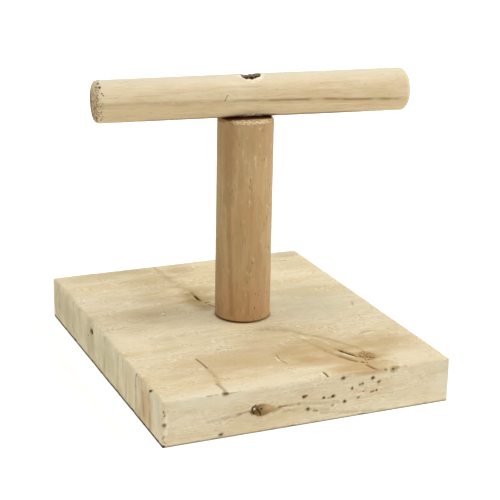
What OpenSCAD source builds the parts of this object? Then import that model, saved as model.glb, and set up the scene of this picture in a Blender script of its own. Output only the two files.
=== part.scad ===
// Tabletop perch for a pet bird: a round bar screwed across the top of a round post,
// which stands on a heavy board and is screwed to it from below. All sizes in millimetres.

/* [Base board] */
// Length of the board along its grain, left to right
base_w = 165; // [120:1:230]
// Depth of the board across its grain, front to back
base_d = 200; // [150:1:280]
// Thickness of the board
base_t = 25; // [18:0.5:35]
// Radius sanded onto the long arrises of the board
base_arris = 1.6; // [0.5:0.1:4]
// Radius sanded onto the upright corners of the board
base_corner = 2; // [0.5:0.1:6]

/* [Post] */
// Diameter of the post
post_d = 32; // [24:0.5:45]
// Length of the post, from the board up to the bar
post_l = 117.5; // [80:0.5:180]
// Bevel cut on the upper end of the post
post_top_bevel = 1.6; // [0.4:0.1:3]
// Radius sanded onto the lower end of the post
post_foot_arris = 0.8; // [0.2:0.1:2]
// How far the post stands to the right of the middle of the board
post_right = 3.7; // [-10:0.1:10]
// How far the post stands behind the middle of the board
post_back = 2.4; // [-10:0.1:10]

/* [Perch bar] */
// Diameter of the bar that the bird holds
bar_d = 24; // [16:0.5:32]
// Length of the bar
bar_l = 180.5; // [140:0.5:240]
// Radius sanded onto the ends of the bar
bar_end_r = 3; // [1:0.1:5]
// Turn of the bar from square with the board, seen from above
bar_turn = -5.9; // [-12:0.1:12]
// How far the middle of the bar lies to the right of the post
bar_right = 4.2; // [-8:0.1:8]
// Depth that the screw has pulled the bar down over the end of the post
bar_bed = 0.3; // [0.1:0.05:0.8]

/* [Wood screws] */
// Outer diameter of the threads
thread_d = 4.5; // [3:0.1:6]
// Step from the plain shank out to the crest of the thread
thread_step = 0.35; // [0.1:0.05:0.6]
// Diameter of the countersunk heads
head_d = 9; // [6:0.1:11]
// Thickness of the rim of the heads
head_rim = 0.5; // [0.2:0.05:1]
// Length of the screw that holds the bar, head and point included
bar_screw_l = 45; // [35:1:60]
// Length of the screw that holds the post, head and point included
base_screw_l = 50; // [40:1:70]
// Share of a screw's length that has thread
thread_share = 0.65; // [0.5:0.01:0.75]
// Length of the point of the screws
screw_point = 5; // [3:0.1:8]
// Depth of the cross recess in the heads
recess_deep = 2.4; // [1.5:0.1:3]
// Span of the cross recess across the head
recess_span = 4.8; // [3:0.1:6]
// Width of one arm of the cross recess
recess_arm = 1.1; // [0.6:0.05:1.6]

/* [Screw holes] */
// How far the bar's screw lies to the right of the post's axis
bar_screw_right = 1.9; // [-5:0.1:5]
// Diameter of the bore that sinks the head into the top of the bar
bar_sink_d = 12; // [11.5:0.1:15]
// Depth of that bore below the crown of the bar
bar_sink_deep = 7; // [4:0.5:10]
// Diameter of the bore that sinks the head into the underside of the board
base_sink_d = 12; // [11.5:0.1:15]
// Depth of that bore
base_sink_deep = 5; // [3:0.5:8]
// Gap all round a shank or thread in the hole that it passes
pass_gap = 0.3; // [0.1:0.05:0.6]
// Gap all round what seats tight in wood
fit_gap = 0.05; // [0.01:0.01:0.1]
// Depth left free under the point of each screw
point_room = 1.5; // [0.5:0.1:4]

/* [Hidden] */
$fn = 96;
overrun = 1;
bar_r = bar_d / 2;
post_r = post_d / 2;
thread_r = thread_d / 2;
shank_r = thread_r - thread_step;
head_r = head_d / 2;
// The underside of a head is a cone of 90 degrees, so it is as tall as it narrows
head_cone = head_r - shank_r;
post_top = base_t + post_l;
bar_axis_z = post_top - bar_bed + bar_r;
bar_crown_z = bar_axis_z + bar_r;
bar_seat_z = bar_crown_z - bar_sink_deep;
// Radius of the flat that is left inside the bevel at the top of the post
post_flat_r = post_r - post_top_bevel;
// Radius of the bed that the end of the post presses into the bar, clear of the bevel
bed_r = post_flat_r + bar_bed + fit_gap;

// The frame's origin lies under the middle of the whole perch. The bar is turned, so half its reach
// to each side is that of its end disc and of the rounding round it.
bar_reach = (bar_l / 2 - bar_end_r) * cos(bar_turn) + (bar_r - bar_end_r) * abs(sin(bar_turn)) + bar_end_r;
bar_mid_x = post_right + bar_right * cos(bar_turn);
reach_right = max(base_w / 2, bar_mid_x + bar_reach);
reach_left = min(-base_w / 2, bar_mid_x - bar_reach);
middle_x = (reach_right + reach_left) / 2;

pine = "#dfceaa";
beech = "#b98f62";
zinc = "#b9bcc0";

// Moves a piece from the board's own frame into the frame of the whole perch
module in_frame() {
    translate([-middle_x, 0, 0]) children();
}

// Stands a piece on the axis of the post
module on_post() {
    translate([post_right, post_back, 0]) children();
}

// Lines a piece up with the bar: X along the bar, Z up, the origin on the axis of the post
module along_bar() {
    on_post() rotate([0, 0, bar_turn]) children();
}

// Rectangle with round corners, in the middle of its own frame
module round_rect(w, h, r) {
    square([w, h - 2 * r], center = true);
    square([w - 2 * r, h], center = true);
    for (x = [-1, 1], y = [-1, 1])
        translate([x * (w / 2 - r), y * (h / 2 - r)]) circle(r);
}

// Board whose upright corners and long arrises are sanded round: what three rounded outlines share
module sanded_board(w, d, t, corner, arris) {
    intersection() {
        linear_extrude(t) round_rect(w, d, corner);
        translate([-w / 2, 0, t / 2]) rotate([90, 0, 90]) linear_extrude(w) round_rect(d, t, arris);
        translate([0, d / 2, t / 2]) rotate([90, 0, 0]) linear_extrude(d) round_rect(w, t, arris);
    }
}

// Hole for one screw, drilled down from z = 0: a sink bore for the head, its cone and the way through
module screw_hole(sink_d, sink_deep, through) {
    way_r = thread_r + pass_gap;
    seat_r = head_r + fit_gap;
    seat_low = sink_deep + head_rim + head_cone + fit_gap;
    rotate_extrude() polygon([
        [0, overrun],
        [sink_d / 2, overrun],
        [sink_d / 2, -sink_deep],
        [seat_r, -sink_deep],
        [seat_r, -sink_deep - head_rim],
        [way_r, -seat_low + way_r - shank_r],
        [way_r, -through - overrun],
        [0, -through - overrun]
    ]);
}

// Blind pilot hole down from z = 0, with the cone that a drill leaves
module pilot_hole(deep) {
    r = thread_r + fit_gap;
    rotate_extrude() polygon([[0, overrun], [r, overrun], [r, -deep], [0, -deep - r]]);
}

module base_board() {
    color(pine) difference() {
        sanded_board(base_w, base_d, base_t, base_corner, base_arris);
        on_post() rotate([180, 0, 0]) screw_hole(base_sink_d, base_sink_deep, base_t);
    }
}

// Half outline of the post: the bevel at the top is straight, the arris at the foot is round
module post_outline() {
    square([post_r - post_foot_arris, post_foot_arris]);
    intersection() {
        translate([post_r - post_foot_arris, post_foot_arris]) circle(post_foot_arris);
        square([post_r, post_foot_arris]);
    }
    polygon([
        [0, post_foot_arris],
        [post_r, post_foot_arris],
        [post_r, post_l - post_top_bevel],
        [post_flat_r, post_l],
        [0, post_l]
    ]);
}

module post() {
    base_grip = base_screw_l + base_sink_deep - base_t;
    bar_grip = bar_screw_l - (bar_seat_z - post_top);
    color(beech) on_post() difference() {
        translate([0, 0, base_t]) rotate_extrude() post_outline();
        translate([0, 0, base_t]) rotate([180, 0, 0]) pilot_hole(base_grip + point_room);
        rotate([0, 0, bar_turn]) translate([bar_screw_right, 0, post_top]) pilot_hole(bar_grip + point_room);
    }
}

// Half outline of the bar, from its middle to one end, with the end's arris rounded
module bar_half_outline() {
    square([bar_r, bar_l / 2 - bar_end_r]);
    square([bar_r - bar_end_r, bar_l / 2]);
    intersection() {
        translate([bar_r - bar_end_r, bar_l / 2 - bar_end_r]) circle(bar_end_r);
        square([bar_r, bar_l / 2]);
    }
}

module perch_bar() {
    color(pine) along_bar() difference() {
        translate([bar_right, 0, bar_axis_z]) rotate([0, 90, 0]) rotate_extrude() {
            bar_half_outline();
            mirror([0, 1]) bar_half_outline();
        }
        translate([bar_screw_right, 0, bar_crown_z]) screw_hole(bar_sink_d, bar_sink_deep, bar_d);
        // The end of the post has pressed a flat bed into the underside
        translate([0, 0, post_top - bar_d]) cylinder(r = bed_r, h = bar_d);
    }
}

// Cross recess in the top of a head at z = 0: two tapered slots that meet on the axis
module cross_recess() {
    for (turn = [0, 90]) rotate([0, 0, turn])
        rotate([90, 0, 0]) linear_extrude(recess_arm, center = true)
            polygon([
                [-recess_span / 2, overrun],
                [recess_span / 2, overrun],
                [recess_span / 2, 0],
                [recess_arm / 2, -recess_deep],
                [-recess_arm / 2, -recess_deep],
                [-recess_span / 2, 0]
            ]);
}

// Countersunk wood screw, point down, the top of its head at z = 0
module wood_screw(l) {
    thread_l = l * thread_share;
    difference() {
        rotate_extrude() polygon([
            [0, 0],
            [head_r, 0],
            [head_r, -head_rim],
            [shank_r, -head_rim - head_cone],
            [shank_r, -l + thread_l],
            [thread_r, -l + thread_l - thread_step],
            [thread_r, -l + screw_point],
            [0, -l]
        ]);
        cross_recess();
    }
}

module bar_screw() {
    color(zinc) along_bar() translate([bar_screw_right, 0, bar_seat_z]) wood_screw(bar_screw_l);
}

module base_screw() {
    color(zinc) on_post() translate([0, 0, base_sink_deep]) rotate([180, 0, 0]) wood_screw(base_screw_l);
}

in_frame() base_board();
in_frame() post();
in_frame() perch_bar();
in_frame() bar_screw();
in_frame() base_screw();
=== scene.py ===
"""Looks of a tabletop bird perch: a pale dowel screwed across a reddish post on a knotty board.

Every size is in millimetres in this file and turns into metres where a mesh, lamp or camera is made.
The board's own frame has its origin under the middle of the board, X along its grain, Y to the back.
"""

from __future__ import annotations

import logging
import math
from dataclasses import dataclass, field
from enum import Enum
from functools import reduce
from typing import Any, Callable, Sequence, Union

import bmesh
import bpy
import numpy as np
from mathutils import Matrix, Vector

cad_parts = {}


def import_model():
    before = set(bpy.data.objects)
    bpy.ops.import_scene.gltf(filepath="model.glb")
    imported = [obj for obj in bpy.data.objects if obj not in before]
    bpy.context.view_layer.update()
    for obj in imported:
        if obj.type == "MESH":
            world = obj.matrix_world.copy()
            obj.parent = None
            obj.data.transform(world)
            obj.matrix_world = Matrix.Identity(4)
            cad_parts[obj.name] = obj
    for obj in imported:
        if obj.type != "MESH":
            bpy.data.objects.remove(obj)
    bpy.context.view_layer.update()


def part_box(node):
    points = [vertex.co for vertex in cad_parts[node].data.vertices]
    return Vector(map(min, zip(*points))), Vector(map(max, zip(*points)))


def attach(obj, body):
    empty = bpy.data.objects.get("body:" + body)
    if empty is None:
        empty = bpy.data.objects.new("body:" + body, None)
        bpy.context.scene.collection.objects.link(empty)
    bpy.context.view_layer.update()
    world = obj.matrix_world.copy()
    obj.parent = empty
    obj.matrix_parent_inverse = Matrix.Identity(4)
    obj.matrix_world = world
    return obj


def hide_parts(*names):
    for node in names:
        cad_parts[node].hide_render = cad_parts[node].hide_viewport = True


LOG = logging.getLogger("perch")
MM = 0.001
TURN = 2 * math.pi

Point = tuple[float, float, float]
Pair = tuple[float, float]
Tint = tuple[float, float, float, float]
Grid = np.ndarray
Piece = bpy.types.Object
Material = bpy.types.Material
Feed = Union["Sock", float, int, Sequence[float]]

# Sizes that more than one piece or finish needs; the post's place is in the board's own frame
BOARD_SIZE = (165, 200, 25)
POST_PLACE = (3.7, 2.4)
BAR_RADIUS = 12
BAR_TURN_DEG = -5.9


# Numbers and noise


def smooth(low: float, high: float, x: Grid) -> Grid:
    """Smooth step: 3s^2 - 2s^3 with s the place of x between low and high, held in 0 to 1.

    Args:
        low: Where the step is 0. It may lie above high for a falling step.
        high: Where the step is 1.
        x: Values to step.

    Returns:
        An array of x's shape.
    """
    s = np.clip((x - low) / (high - low), 0, 1)
    return s * s * (3 - 2 * s)


def lattice(p: Grid, seed: int) -> Grid:
    """Smooth noise from -1 to 1: random values at whole-number points, blended by 6s^5 - 15s^4 + 10s^3.

    Args:
        p: Points, the last axis X, Y, Z, in units of one cell.
        seed: Picks the set of random values.

    Returns:
        One value for each point.
    """
    cell = np.floor(p).astype(np.int64)
    s = p - cell
    s = s * s * s * (s * (s * 6 - 15) + 10)
    total = np.zeros(p.shape[:-1])
    for corner in np.ndindex(2, 2, 2):
        at = cell + np.array(corner)
        key = at[..., 0] * 73856093 ^ at[..., 1] * 19349663 ^ at[..., 2] * 83492791 ^ seed * 2654435761
        key = (key ^ (key >> 13)) * 1274126177 & 0xFFFFFFFF
        key = (key ^ (key >> 16)) * 2246822519 & 0xFFFFFFFF
        value = ((key >> 8) & 0xFFFF) / 32767.5 - 1
        total += value * np.prod(np.where(np.array(corner) == 1, s, 1 - s), axis=-1)
    return total


def rough(p: Grid, cell: float | Sequence[float], seed: int, octaves: int = 2) -> Grid:
    """Sum of lattice noises, each twice as fine and half as strong as the last.

    Args:
        p: Points.
        cell: Size of the coarsest cell, one for all or one for each axis.
        seed: Picks the random values.
        octaves: How many noises are summed.

    Returns:
        One value for each point, about -1 to 1.
    """
    p = p / np.array(cell)
    return sum(lattice(p * 2.0**k, seed + k) * 0.5**k for k in range(octaves))


def rod_distance(p: Grid, path: Sequence[Point]) -> Grid:
    """Distance from each point to the nearest straight part of a path: |p - a - h(b - a)|.

    Args:
        p: Points.
        path: One point or more.

    Returns:
        One distance for each point.
    """
    found = []
    for a, b in rods_of(path):
        start, along = np.array(a), np.array(b) - np.array(a)
        h = np.clip((p - start) @ along / max(float(along @ along), 1e-9), 0, 1)
        found.append(np.linalg.norm(p - start - h[..., None] * along, axis=-1))
    return np.minimum.reduce(found)


def rods_of(path: Sequence[Point]) -> list[tuple[Point, Point]]:
    """The two ends of each straight part of a path; a single point is a part of its own."""
    return list(zip(path[:-1], path[1:])) or [(path[0], path[0])]


def graded(low: float, high: float, step: float, fine: float, focus: Sequence[Pair]) -> Grid:
    """Places from low to high whose spacing shrinks from step to fine near each place in focus.

    The density of lines is 1/step plus a bell round each focus; its running sum is cut in equal parts.

    Args:
        low: First place.
        high: Last place.
        step: Spacing away from every focus.
        fine: Spacing at a focus.
        focus: Pairs of a place and the half width of the bell round it.

    Returns:
        Rising places, both ends included.
    """
    x = np.linspace(low, high, 4001)
    near = np.zeros_like(x)
    for place, reach in focus:
        near = np.maximum(near, bell(x, place, reach))
    density = 1 / step + near * (1 / fine - 1 / step)
    run = np.concatenate([[0], np.cumsum((density[1:] + density[:-1]) / 2 * np.diff(x))])
    return np.interp(np.linspace(0, run[-1], math.ceil(run[-1]) + 1), run, x)


def xyz(x: Grid | float, y: Grid | float, z: Grid | float) -> Grid:
    """Points from their three parts, each an array or a number that holds for all."""
    return np.stack(np.broadcast_arrays(x, y, z), axis=-1).astype(float)


def circle(middle: Pair, radius: Grid | float, angle: Grid, z: Grid | float) -> Grid:
    """A ring of points at a radius and height about an upright axis: middle + r (cos a, sin a)."""
    return xyz(middle[0] + radius * np.cos(angle), middle[1] + radius * np.sin(angle), z)


def turned(own: Grid, turn_deg: float) -> Grid:
    """Points turned about Z: (x cos t - y sin t, x sin t + y cos t, z)."""
    c, s = math.cos(math.radians(turn_deg)), math.sin(math.radians(turn_deg))
    return xyz(own[..., 0] * c - own[..., 1] * s, own[..., 0] * s + own[..., 1] * c, own[..., 2])


def blend(a: Grid | float, b: Grid | float, share: float) -> Grid:
    """Goes from a to b as share goes from 0 to 1."""
    return a * (1 - share) + b * share


def bell(x: Grid, place: float, reach: float) -> Grid:
    """A bell of height 1 round a place: exp(-((x - place) / reach)^2)."""
    return np.exp(-(((x - place) / reach) ** 2))


# Meshes


class Skin:
    """Collects grids of points in millimetres, welds what coincides and makes one closed mesh."""

    WELD = 1e-4
    SHARP_DEG = 38

    def __init__(self) -> None:
        """Starts with no grid."""
        self._points: list[Grid] = []
        self._faces: list[Grid] = []
        self._count = 0

    def grid(self, points: Grid, around: bool = False, hide: Grid | None = None) -> None:
        """Adds a grid of rows by columns.

        Args:
            points: Array of rows, columns, 3.
            around: Whether the last column joins the first.
            hide: Cells to leave out, as a true or false array of rows - 1 by columns - 1.
        """
        rows, columns = points.shape[:2]
        index = np.arange(rows * columns).reshape(rows, columns) + self._count
        right = np.roll(index, -1, axis=1) if around else index[:, 1:]
        left = index if around else index[:, :-1]
        cells = np.stack([left[:-1], right[:-1], right[1:], left[1:]], axis=-1)
        self._points.append(points.reshape(-1, 3))
        self._faces.append((cells if hide is None else cells[~hide]).reshape(-1, 4))
        self._count += rows * columns

    def build(self, name: str, closed: bool = True) -> Piece:
        """Welds the grids and makes the object, its place in its mesh.

        Args:
            name: The object's name.
            closed: Whether the faces are turned outwards as one closed skin.

        Returns:
            The new object, in the scene.
        """
        points = np.concatenate(self._points)
        faces = np.concatenate(self._faces)
        places = np.round(points / self.WELD).astype(np.int64)
        _, first, where = np.unique(places, axis=0, return_index=True, return_inverse=True)
        faces = where.reshape(-1)[faces]
        kept = faces != np.roll(faces, -1, axis=1)
        size = kept.sum(axis=1)
        quads = faces[size == 4]
        thirds = faces[size == 3][kept[size == 3]].reshape(-1, 3)
        loops = np.concatenate([quads.reshape(-1), thirds.reshape(-1)])
        totals = np.concatenate([np.full(len(quads), 4), np.full(len(thirds), 3)])
        starts = np.concatenate([[0], np.cumsum(totals)[:-1]])
        mesh = bpy.data.meshes.new(name)
        mesh.vertices.add(len(first))
        mesh.vertices.foreach_set("co", (points[first] * MM).reshape(-1))
        mesh.loops.add(len(loops))
        mesh.loops.foreach_set("vertex_index", loops.astype(np.int32))
        mesh.polygons.add(len(totals))
        mesh.polygons.foreach_set("loop_start", starts.astype(np.int32))
        mesh.update(calc_edges=True)
        mesh.validate()
        if closed:
            self._face_out(mesh)
        mesh.polygons.foreach_set("use_smooth", np.ones(len(mesh.polygons), dtype=bool))
        mesh.set_sharp_from_angle(angle=math.radians(self.SHARP_DEG))
        piece = bpy.data.objects.new(name, mesh)
        bpy.context.scene.collection.objects.link(piece)
        return piece

    @staticmethod
    def _face_out(mesh: bpy.types.Mesh) -> None:
        """Turns every face of a closed mesh outwards."""
        shell = bmesh.new()
        shell.from_mesh(mesh)
        bmesh.ops.recalc_face_normals(shell, faces=shell.faces)
        shell.to_mesh(mesh)
        shell.free()


# Shader nodes


def _operator(operation: str, swapped: bool = False) -> Callable[..., Sock]:
    """Makes the method of Sock that adds one kind of Math node.

    Args:
        operation: The node's operation.
        swapped: Whether the Sock itself is the last input, as in a reflected operator.

    Returns:
        The method.
    """

    def method(self: Sock, *others: Feed) -> Sock:
        """Adds the node to this and the others."""
        feeds = (*others, self) if swapped else (self, *others)
        return self.shade.add("ShaderNodeMath", {"operation": operation}, dict(enumerate(feeds)))

    return method


class Sock:
    """One output of a node, with Python's operators standing for Math nodes."""

    __add__ = __radd__ = _operator("ADD")
    __mul__ = __rmul__ = _operator("MULTIPLY")
    __sub__ = _operator("SUBTRACT")
    __rsub__ = _operator("SUBTRACT", swapped=True)
    __truediv__ = _operator("DIVIDE")
    __rtruediv__ = _operator("DIVIDE", swapped=True)
    __abs__ = _operator("ABSOLUTE")
    least = _operator("MINIMUM")
    most = _operator("MAXIMUM")
    part = _operator("FRACT")
    root = _operator("SQRT")

    def __init__(self, shade: Shade, socket: bpy.types.NodeSocket) -> None:
        """Wraps an output socket of a material's tree."""
        self.shade = shade
        self.socket = socket

    def held(self) -> Sock:
        """This held in 0 to 1."""
        return self.shade.add("ShaderNodeClamp", {}, {0: self})

    def step(self, low: float, high: float) -> Sock:
        """Smooth step from 0 at low to 1 at high; low may be the larger."""
        ends = {1: low, 2: high} if low <= high else {1: high, 2: low, 3: 1.0, 4: 0.0}
        return self.shade.add("ShaderNodeMapRange", {"interpolation_type": "SMOOTHSTEP"}, {0: self, **ends})


class Shade:
    """One material and the nodes that are added to it."""

    def __init__(self, name: str) -> None:
        """Makes the named material with an empty tree but for its shader and output."""
        self.material = bpy.data.materials.new(name)
        self.material.use_nodes = True
        self.tree = self.material.node_tree
        self.tree.nodes.clear()
        self.surface = self.tree.nodes.new("ShaderNodeBsdfPrincipled")
        output = self.tree.nodes.new("ShaderNodeOutputMaterial")
        self.tree.links.new(self.surface.outputs[0], output.inputs[0])

    def add(self, kind: str, settings: dict[str, Any], feeds: dict[Any, Feed], out: int | str = 0) -> Sock:
        """Adds any node: its settings first, then its inputs.

        Args:
            kind: The node's type.
            settings: Names and values of its properties.
            feeds: Inputs by number or name, each a Sock or a value.
            out: Which output is wanted.

        Returns:
            That output.
        """
        node = self.tree.nodes.new(kind)
        for key, value in settings.items():
            setattr(node, key, value)
        for key, feed in feeds.items():
            self.feed(node.inputs[key], feed)
        return Sock(self, node.outputs[out])

    def feed(self, socket: bpy.types.NodeSocket, feed: Feed) -> None:
        """Links a Sock to an input, or sets the input's value."""
        if isinstance(feed, Sock):
            self.tree.links.new(feed.socket, socket)
        else:
            socket.default_value = feed

    def set(self, **feeds: Feed) -> None:
        """Feeds the surface shader's inputs, with _ for each space in an input's name."""
        for key, feed in feeds.items():
            self.feed(self.surface.inputs[key.replace("_", " ")], feed)

    def place(self, middle: Point = (0, 0, 0), turn_deg: float = 0) -> Sock:
        """Object coordinates in millimetres about a middle, turned back about Z.

        Args:
            middle: The pattern's origin, in millimetres.
            turn_deg: How far the pattern is turned on the piece.

        Returns:
            The coordinates.
        """
        at = self.vector("SCALE", self.add("ShaderNodeTexCoord", {}, {}, "Object"), scale=1 / MM)
        feeds = {0: at, 1: middle, 2: (0, 0, math.radians(turn_deg))}
        return self.add("ShaderNodeMapping", {"vector_type": "TEXTURE"}, feeds)

    def vector(self, operation: str, a: Feed, b: Feed = (0, 0, 0), scale: Feed | None = None) -> Sock:
        """Adds a Vector Math node and returns its vector, or its value where it gives one.

        Args:
            operation: The node's operation.
            a: First vector.
            b: Second vector.
            scale: Factor of the SCALE operation.

        Returns:
            The result.
        """
        feeds: dict[Any, Feed] = {0: a}
        if scale is not None:
            feeds["Scale"] = scale
        elif operation != "LENGTH":
            feeds[1] = b
        is_value = operation in ("LENGTH", "DOT_PRODUCT", "DISTANCE")
        return self.add("ShaderNodeVectorMath", {"operation": operation}, feeds, int(is_value))

    def parts(self, at: Sock) -> tuple[Sock, ...]:
        """The three parts of a vector."""
        x = self.add("ShaderNodeSeparateXYZ", {}, {0: at})
        return tuple(Sock(self, out) for out in x.socket.node.outputs)

    def join(self, x: Feed, y: Feed, z: Feed) -> Sock:
        """A vector of three parts."""
        return self.add("ShaderNodeCombineXYZ", {}, {0: x, 1: y, 2: z})

    def in_cells(self, at: Sock, cell: float | Point) -> Sock:
        """Places in units of a cell, whose size is one for all axes or one for each."""
        sizes = (cell, cell, cell) if isinstance(cell, (int, float)) else cell
        return self.vector("MULTIPLY", at, tuple(1 / c for c in sizes))

    def noise(self, at: Sock, cell: float | Point, detail: float = 2, roughness: float = 0.5) -> Sock:
        """Noise from 0 to 1 whose cells have a size along each axis.

        Args:
            at: Where it is read, in millimetres.
            cell: Size of a cell, one for all axes or one for each.
            detail: Octaves beyond the first.
            roughness: Strength of each octave beside the last.

        Returns:
            The noise.
        """
        feeds = {"Vector": self.in_cells(at, cell), "Scale": 1, "Detail": detail, "Roughness": roughness}
        return self.add("ShaderNodeTexNoise", {"noise_dimensions": "3D"}, feeds)

    def cells(self, at: Sock, cell: float | Point) -> Sock:
        """Distance to the nearest of scattered points, one to each cell, in cells."""
        feeds = {"Vector": self.in_cells(at, cell), "Scale": 1, "Randomness": 1}
        return self.add("ShaderNodeTexVoronoi", {"feature": "F1"}, feeds)

    def mix(self, factor: Feed, a: Feed, b: Feed) -> Sock:
        """Colour a goes over to colour b as the factor goes from 0 to 1."""
        return self.add("ShaderNodeMix", {"data_type": "RGBA"}, {0: factor, 6: a, 7: b}, 2)

    def paint(self, tone: Feed, *layers: tuple[Any, ...]) -> Sock:
        """Paints layers over a colour, the first one lowest.

        Args:
            tone: The colour below them all.
            layers: Each a mask and a colour, or a value, the two ends of its step, a strength and a colour.

        Returns:
            The painted colour.
        """
        for *mask, colour in layers:
            factor = mask[0] if len(mask) == 1 else mask[0].step(mask[1], mask[2]) * mask[3]
            tone = self.mix(factor, tone, colour)
        return tone

    def rod(self, at: Sock, a: Point, b: Point) -> Sock:
        """Distance to the straight line between two points: |p - a - h(b - a)|, h held in 0 to 1.

        Args:
            at: Where it is read.
            a: One end of the line.
            b: Its other end.

        Returns:
            The distance.
        """
        along = np.array(b, float) - np.array(a)
        square = float(along @ along)
        if square < 1e-6:
            return self.vector("DISTANCE", at, a)
        away = self.vector("SUBTRACT", at, a)
        h = self.vector("DOT_PRODUCT", away, tuple(along / square)).held()
        return self.vector("DISTANCE", away, self.vector("SCALE", tuple(along), scale=h))

    def finish(self, tone: Sock, roughness: Feed, shine: float, height: Sock, deep: float) -> Material:
        """Feeds the surface of a piece of wood.

        Args:
            tone: Its colour.
            roughness: Its roughness.
            shine: Level of its specular light.
            height: Its relief, in units of deep.
            deep: Depth of the relief, in millimetres.

        Returns:
            The finished material.
        """
        self.bump(height, deep)
        self.set(Base_Color=tone, Roughness=roughness, Specular_IOR_Level=shine)
        return self.material

    def bump(self, height: Sock, deep: float) -> None:
        """Feeds the surface's normal from a height in units of deep, in millimetres."""
        feeds = {"Strength": 1, "Distance": deep * MM, "Height": height}
        self.set(Normal=self.add("ShaderNodeBump", {}, feeds))


def tint(red: float, green: float, blue: float) -> Tint:
    """Turns a colour as seen on a screen, 0 to 255, into the light that Blender reckons with."""
    part = [c / 255 for c in (red, green, blue)]
    light = [c / 12.92 if c <= 0.04045 else ((c + 0.055) / 1.055) ** 2.4 for c in part]
    return (light[0], light[1], light[2], 1.0)


# What the board carries


class Tone(Enum):
    """Colours of the marks in the wood, in the order in which they are painted."""

    CREAM = tint(240, 230, 204)
    TAN = tint(190, 158, 108)
    GREY = tint(156, 134, 84)
    RUST = tint(150, 100, 58)
    BROWN = tint(122, 88, 40)
    PITCH = tint(56, 34, 8)


CREAM, TAN, GREY, RUST, BROWN, PITCH = Tone


class Face(Enum):
    """Faces of the board, each by its fixed place along X, Y or Z, with None where a mark gives it."""

    TOP = (None, None, BOARD_SIZE[2])
    FRONT = (None, -BOARD_SIZE[1] / 2, None)
    LEFT = (-BOARD_SIZE[0] / 2, None, None)
    ARRIS = (None, None, None)


@dataclass(frozen=True)
class Mark:
    """A line or dot in the board: what lies within width of a line through some points."""

    tone: Tone
    strength: float
    width: float
    depth: float
    path: tuple[Point, ...]

    @classmethod
    def on(cls, face: Face, tone: Tone, strength: float, width: float, depth: float, *places: float) -> Mark:
        """Makes a mark on a face of the board.

        Args:
            face: The face.
            tone: The mark's colour.
            strength: How much of the wood's own colour it hides.
            width: Its half width.
            depth: How deep it is cut into the wood.
            places: Its points, one after the other, each by what the face leaves open.

        Returns:
            The mark.
        """
        open_places = face.value.count(None)
        path = []
        for start in range(0, len(places), open_places):
            given = iter(places[start : start + open_places])
            path.append(tuple(next(given) if fixed is None else fixed for fixed in face.value))
        return cls(tone, strength, width, depth, tuple(path))


@dataclass(frozen=True)
class Cloud:
    """A soft patch of another colour: an ellipsoid that fades out, broken by the grain."""

    tone: Tint
    strength: float
    middle: Point
    reach: Point


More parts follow.
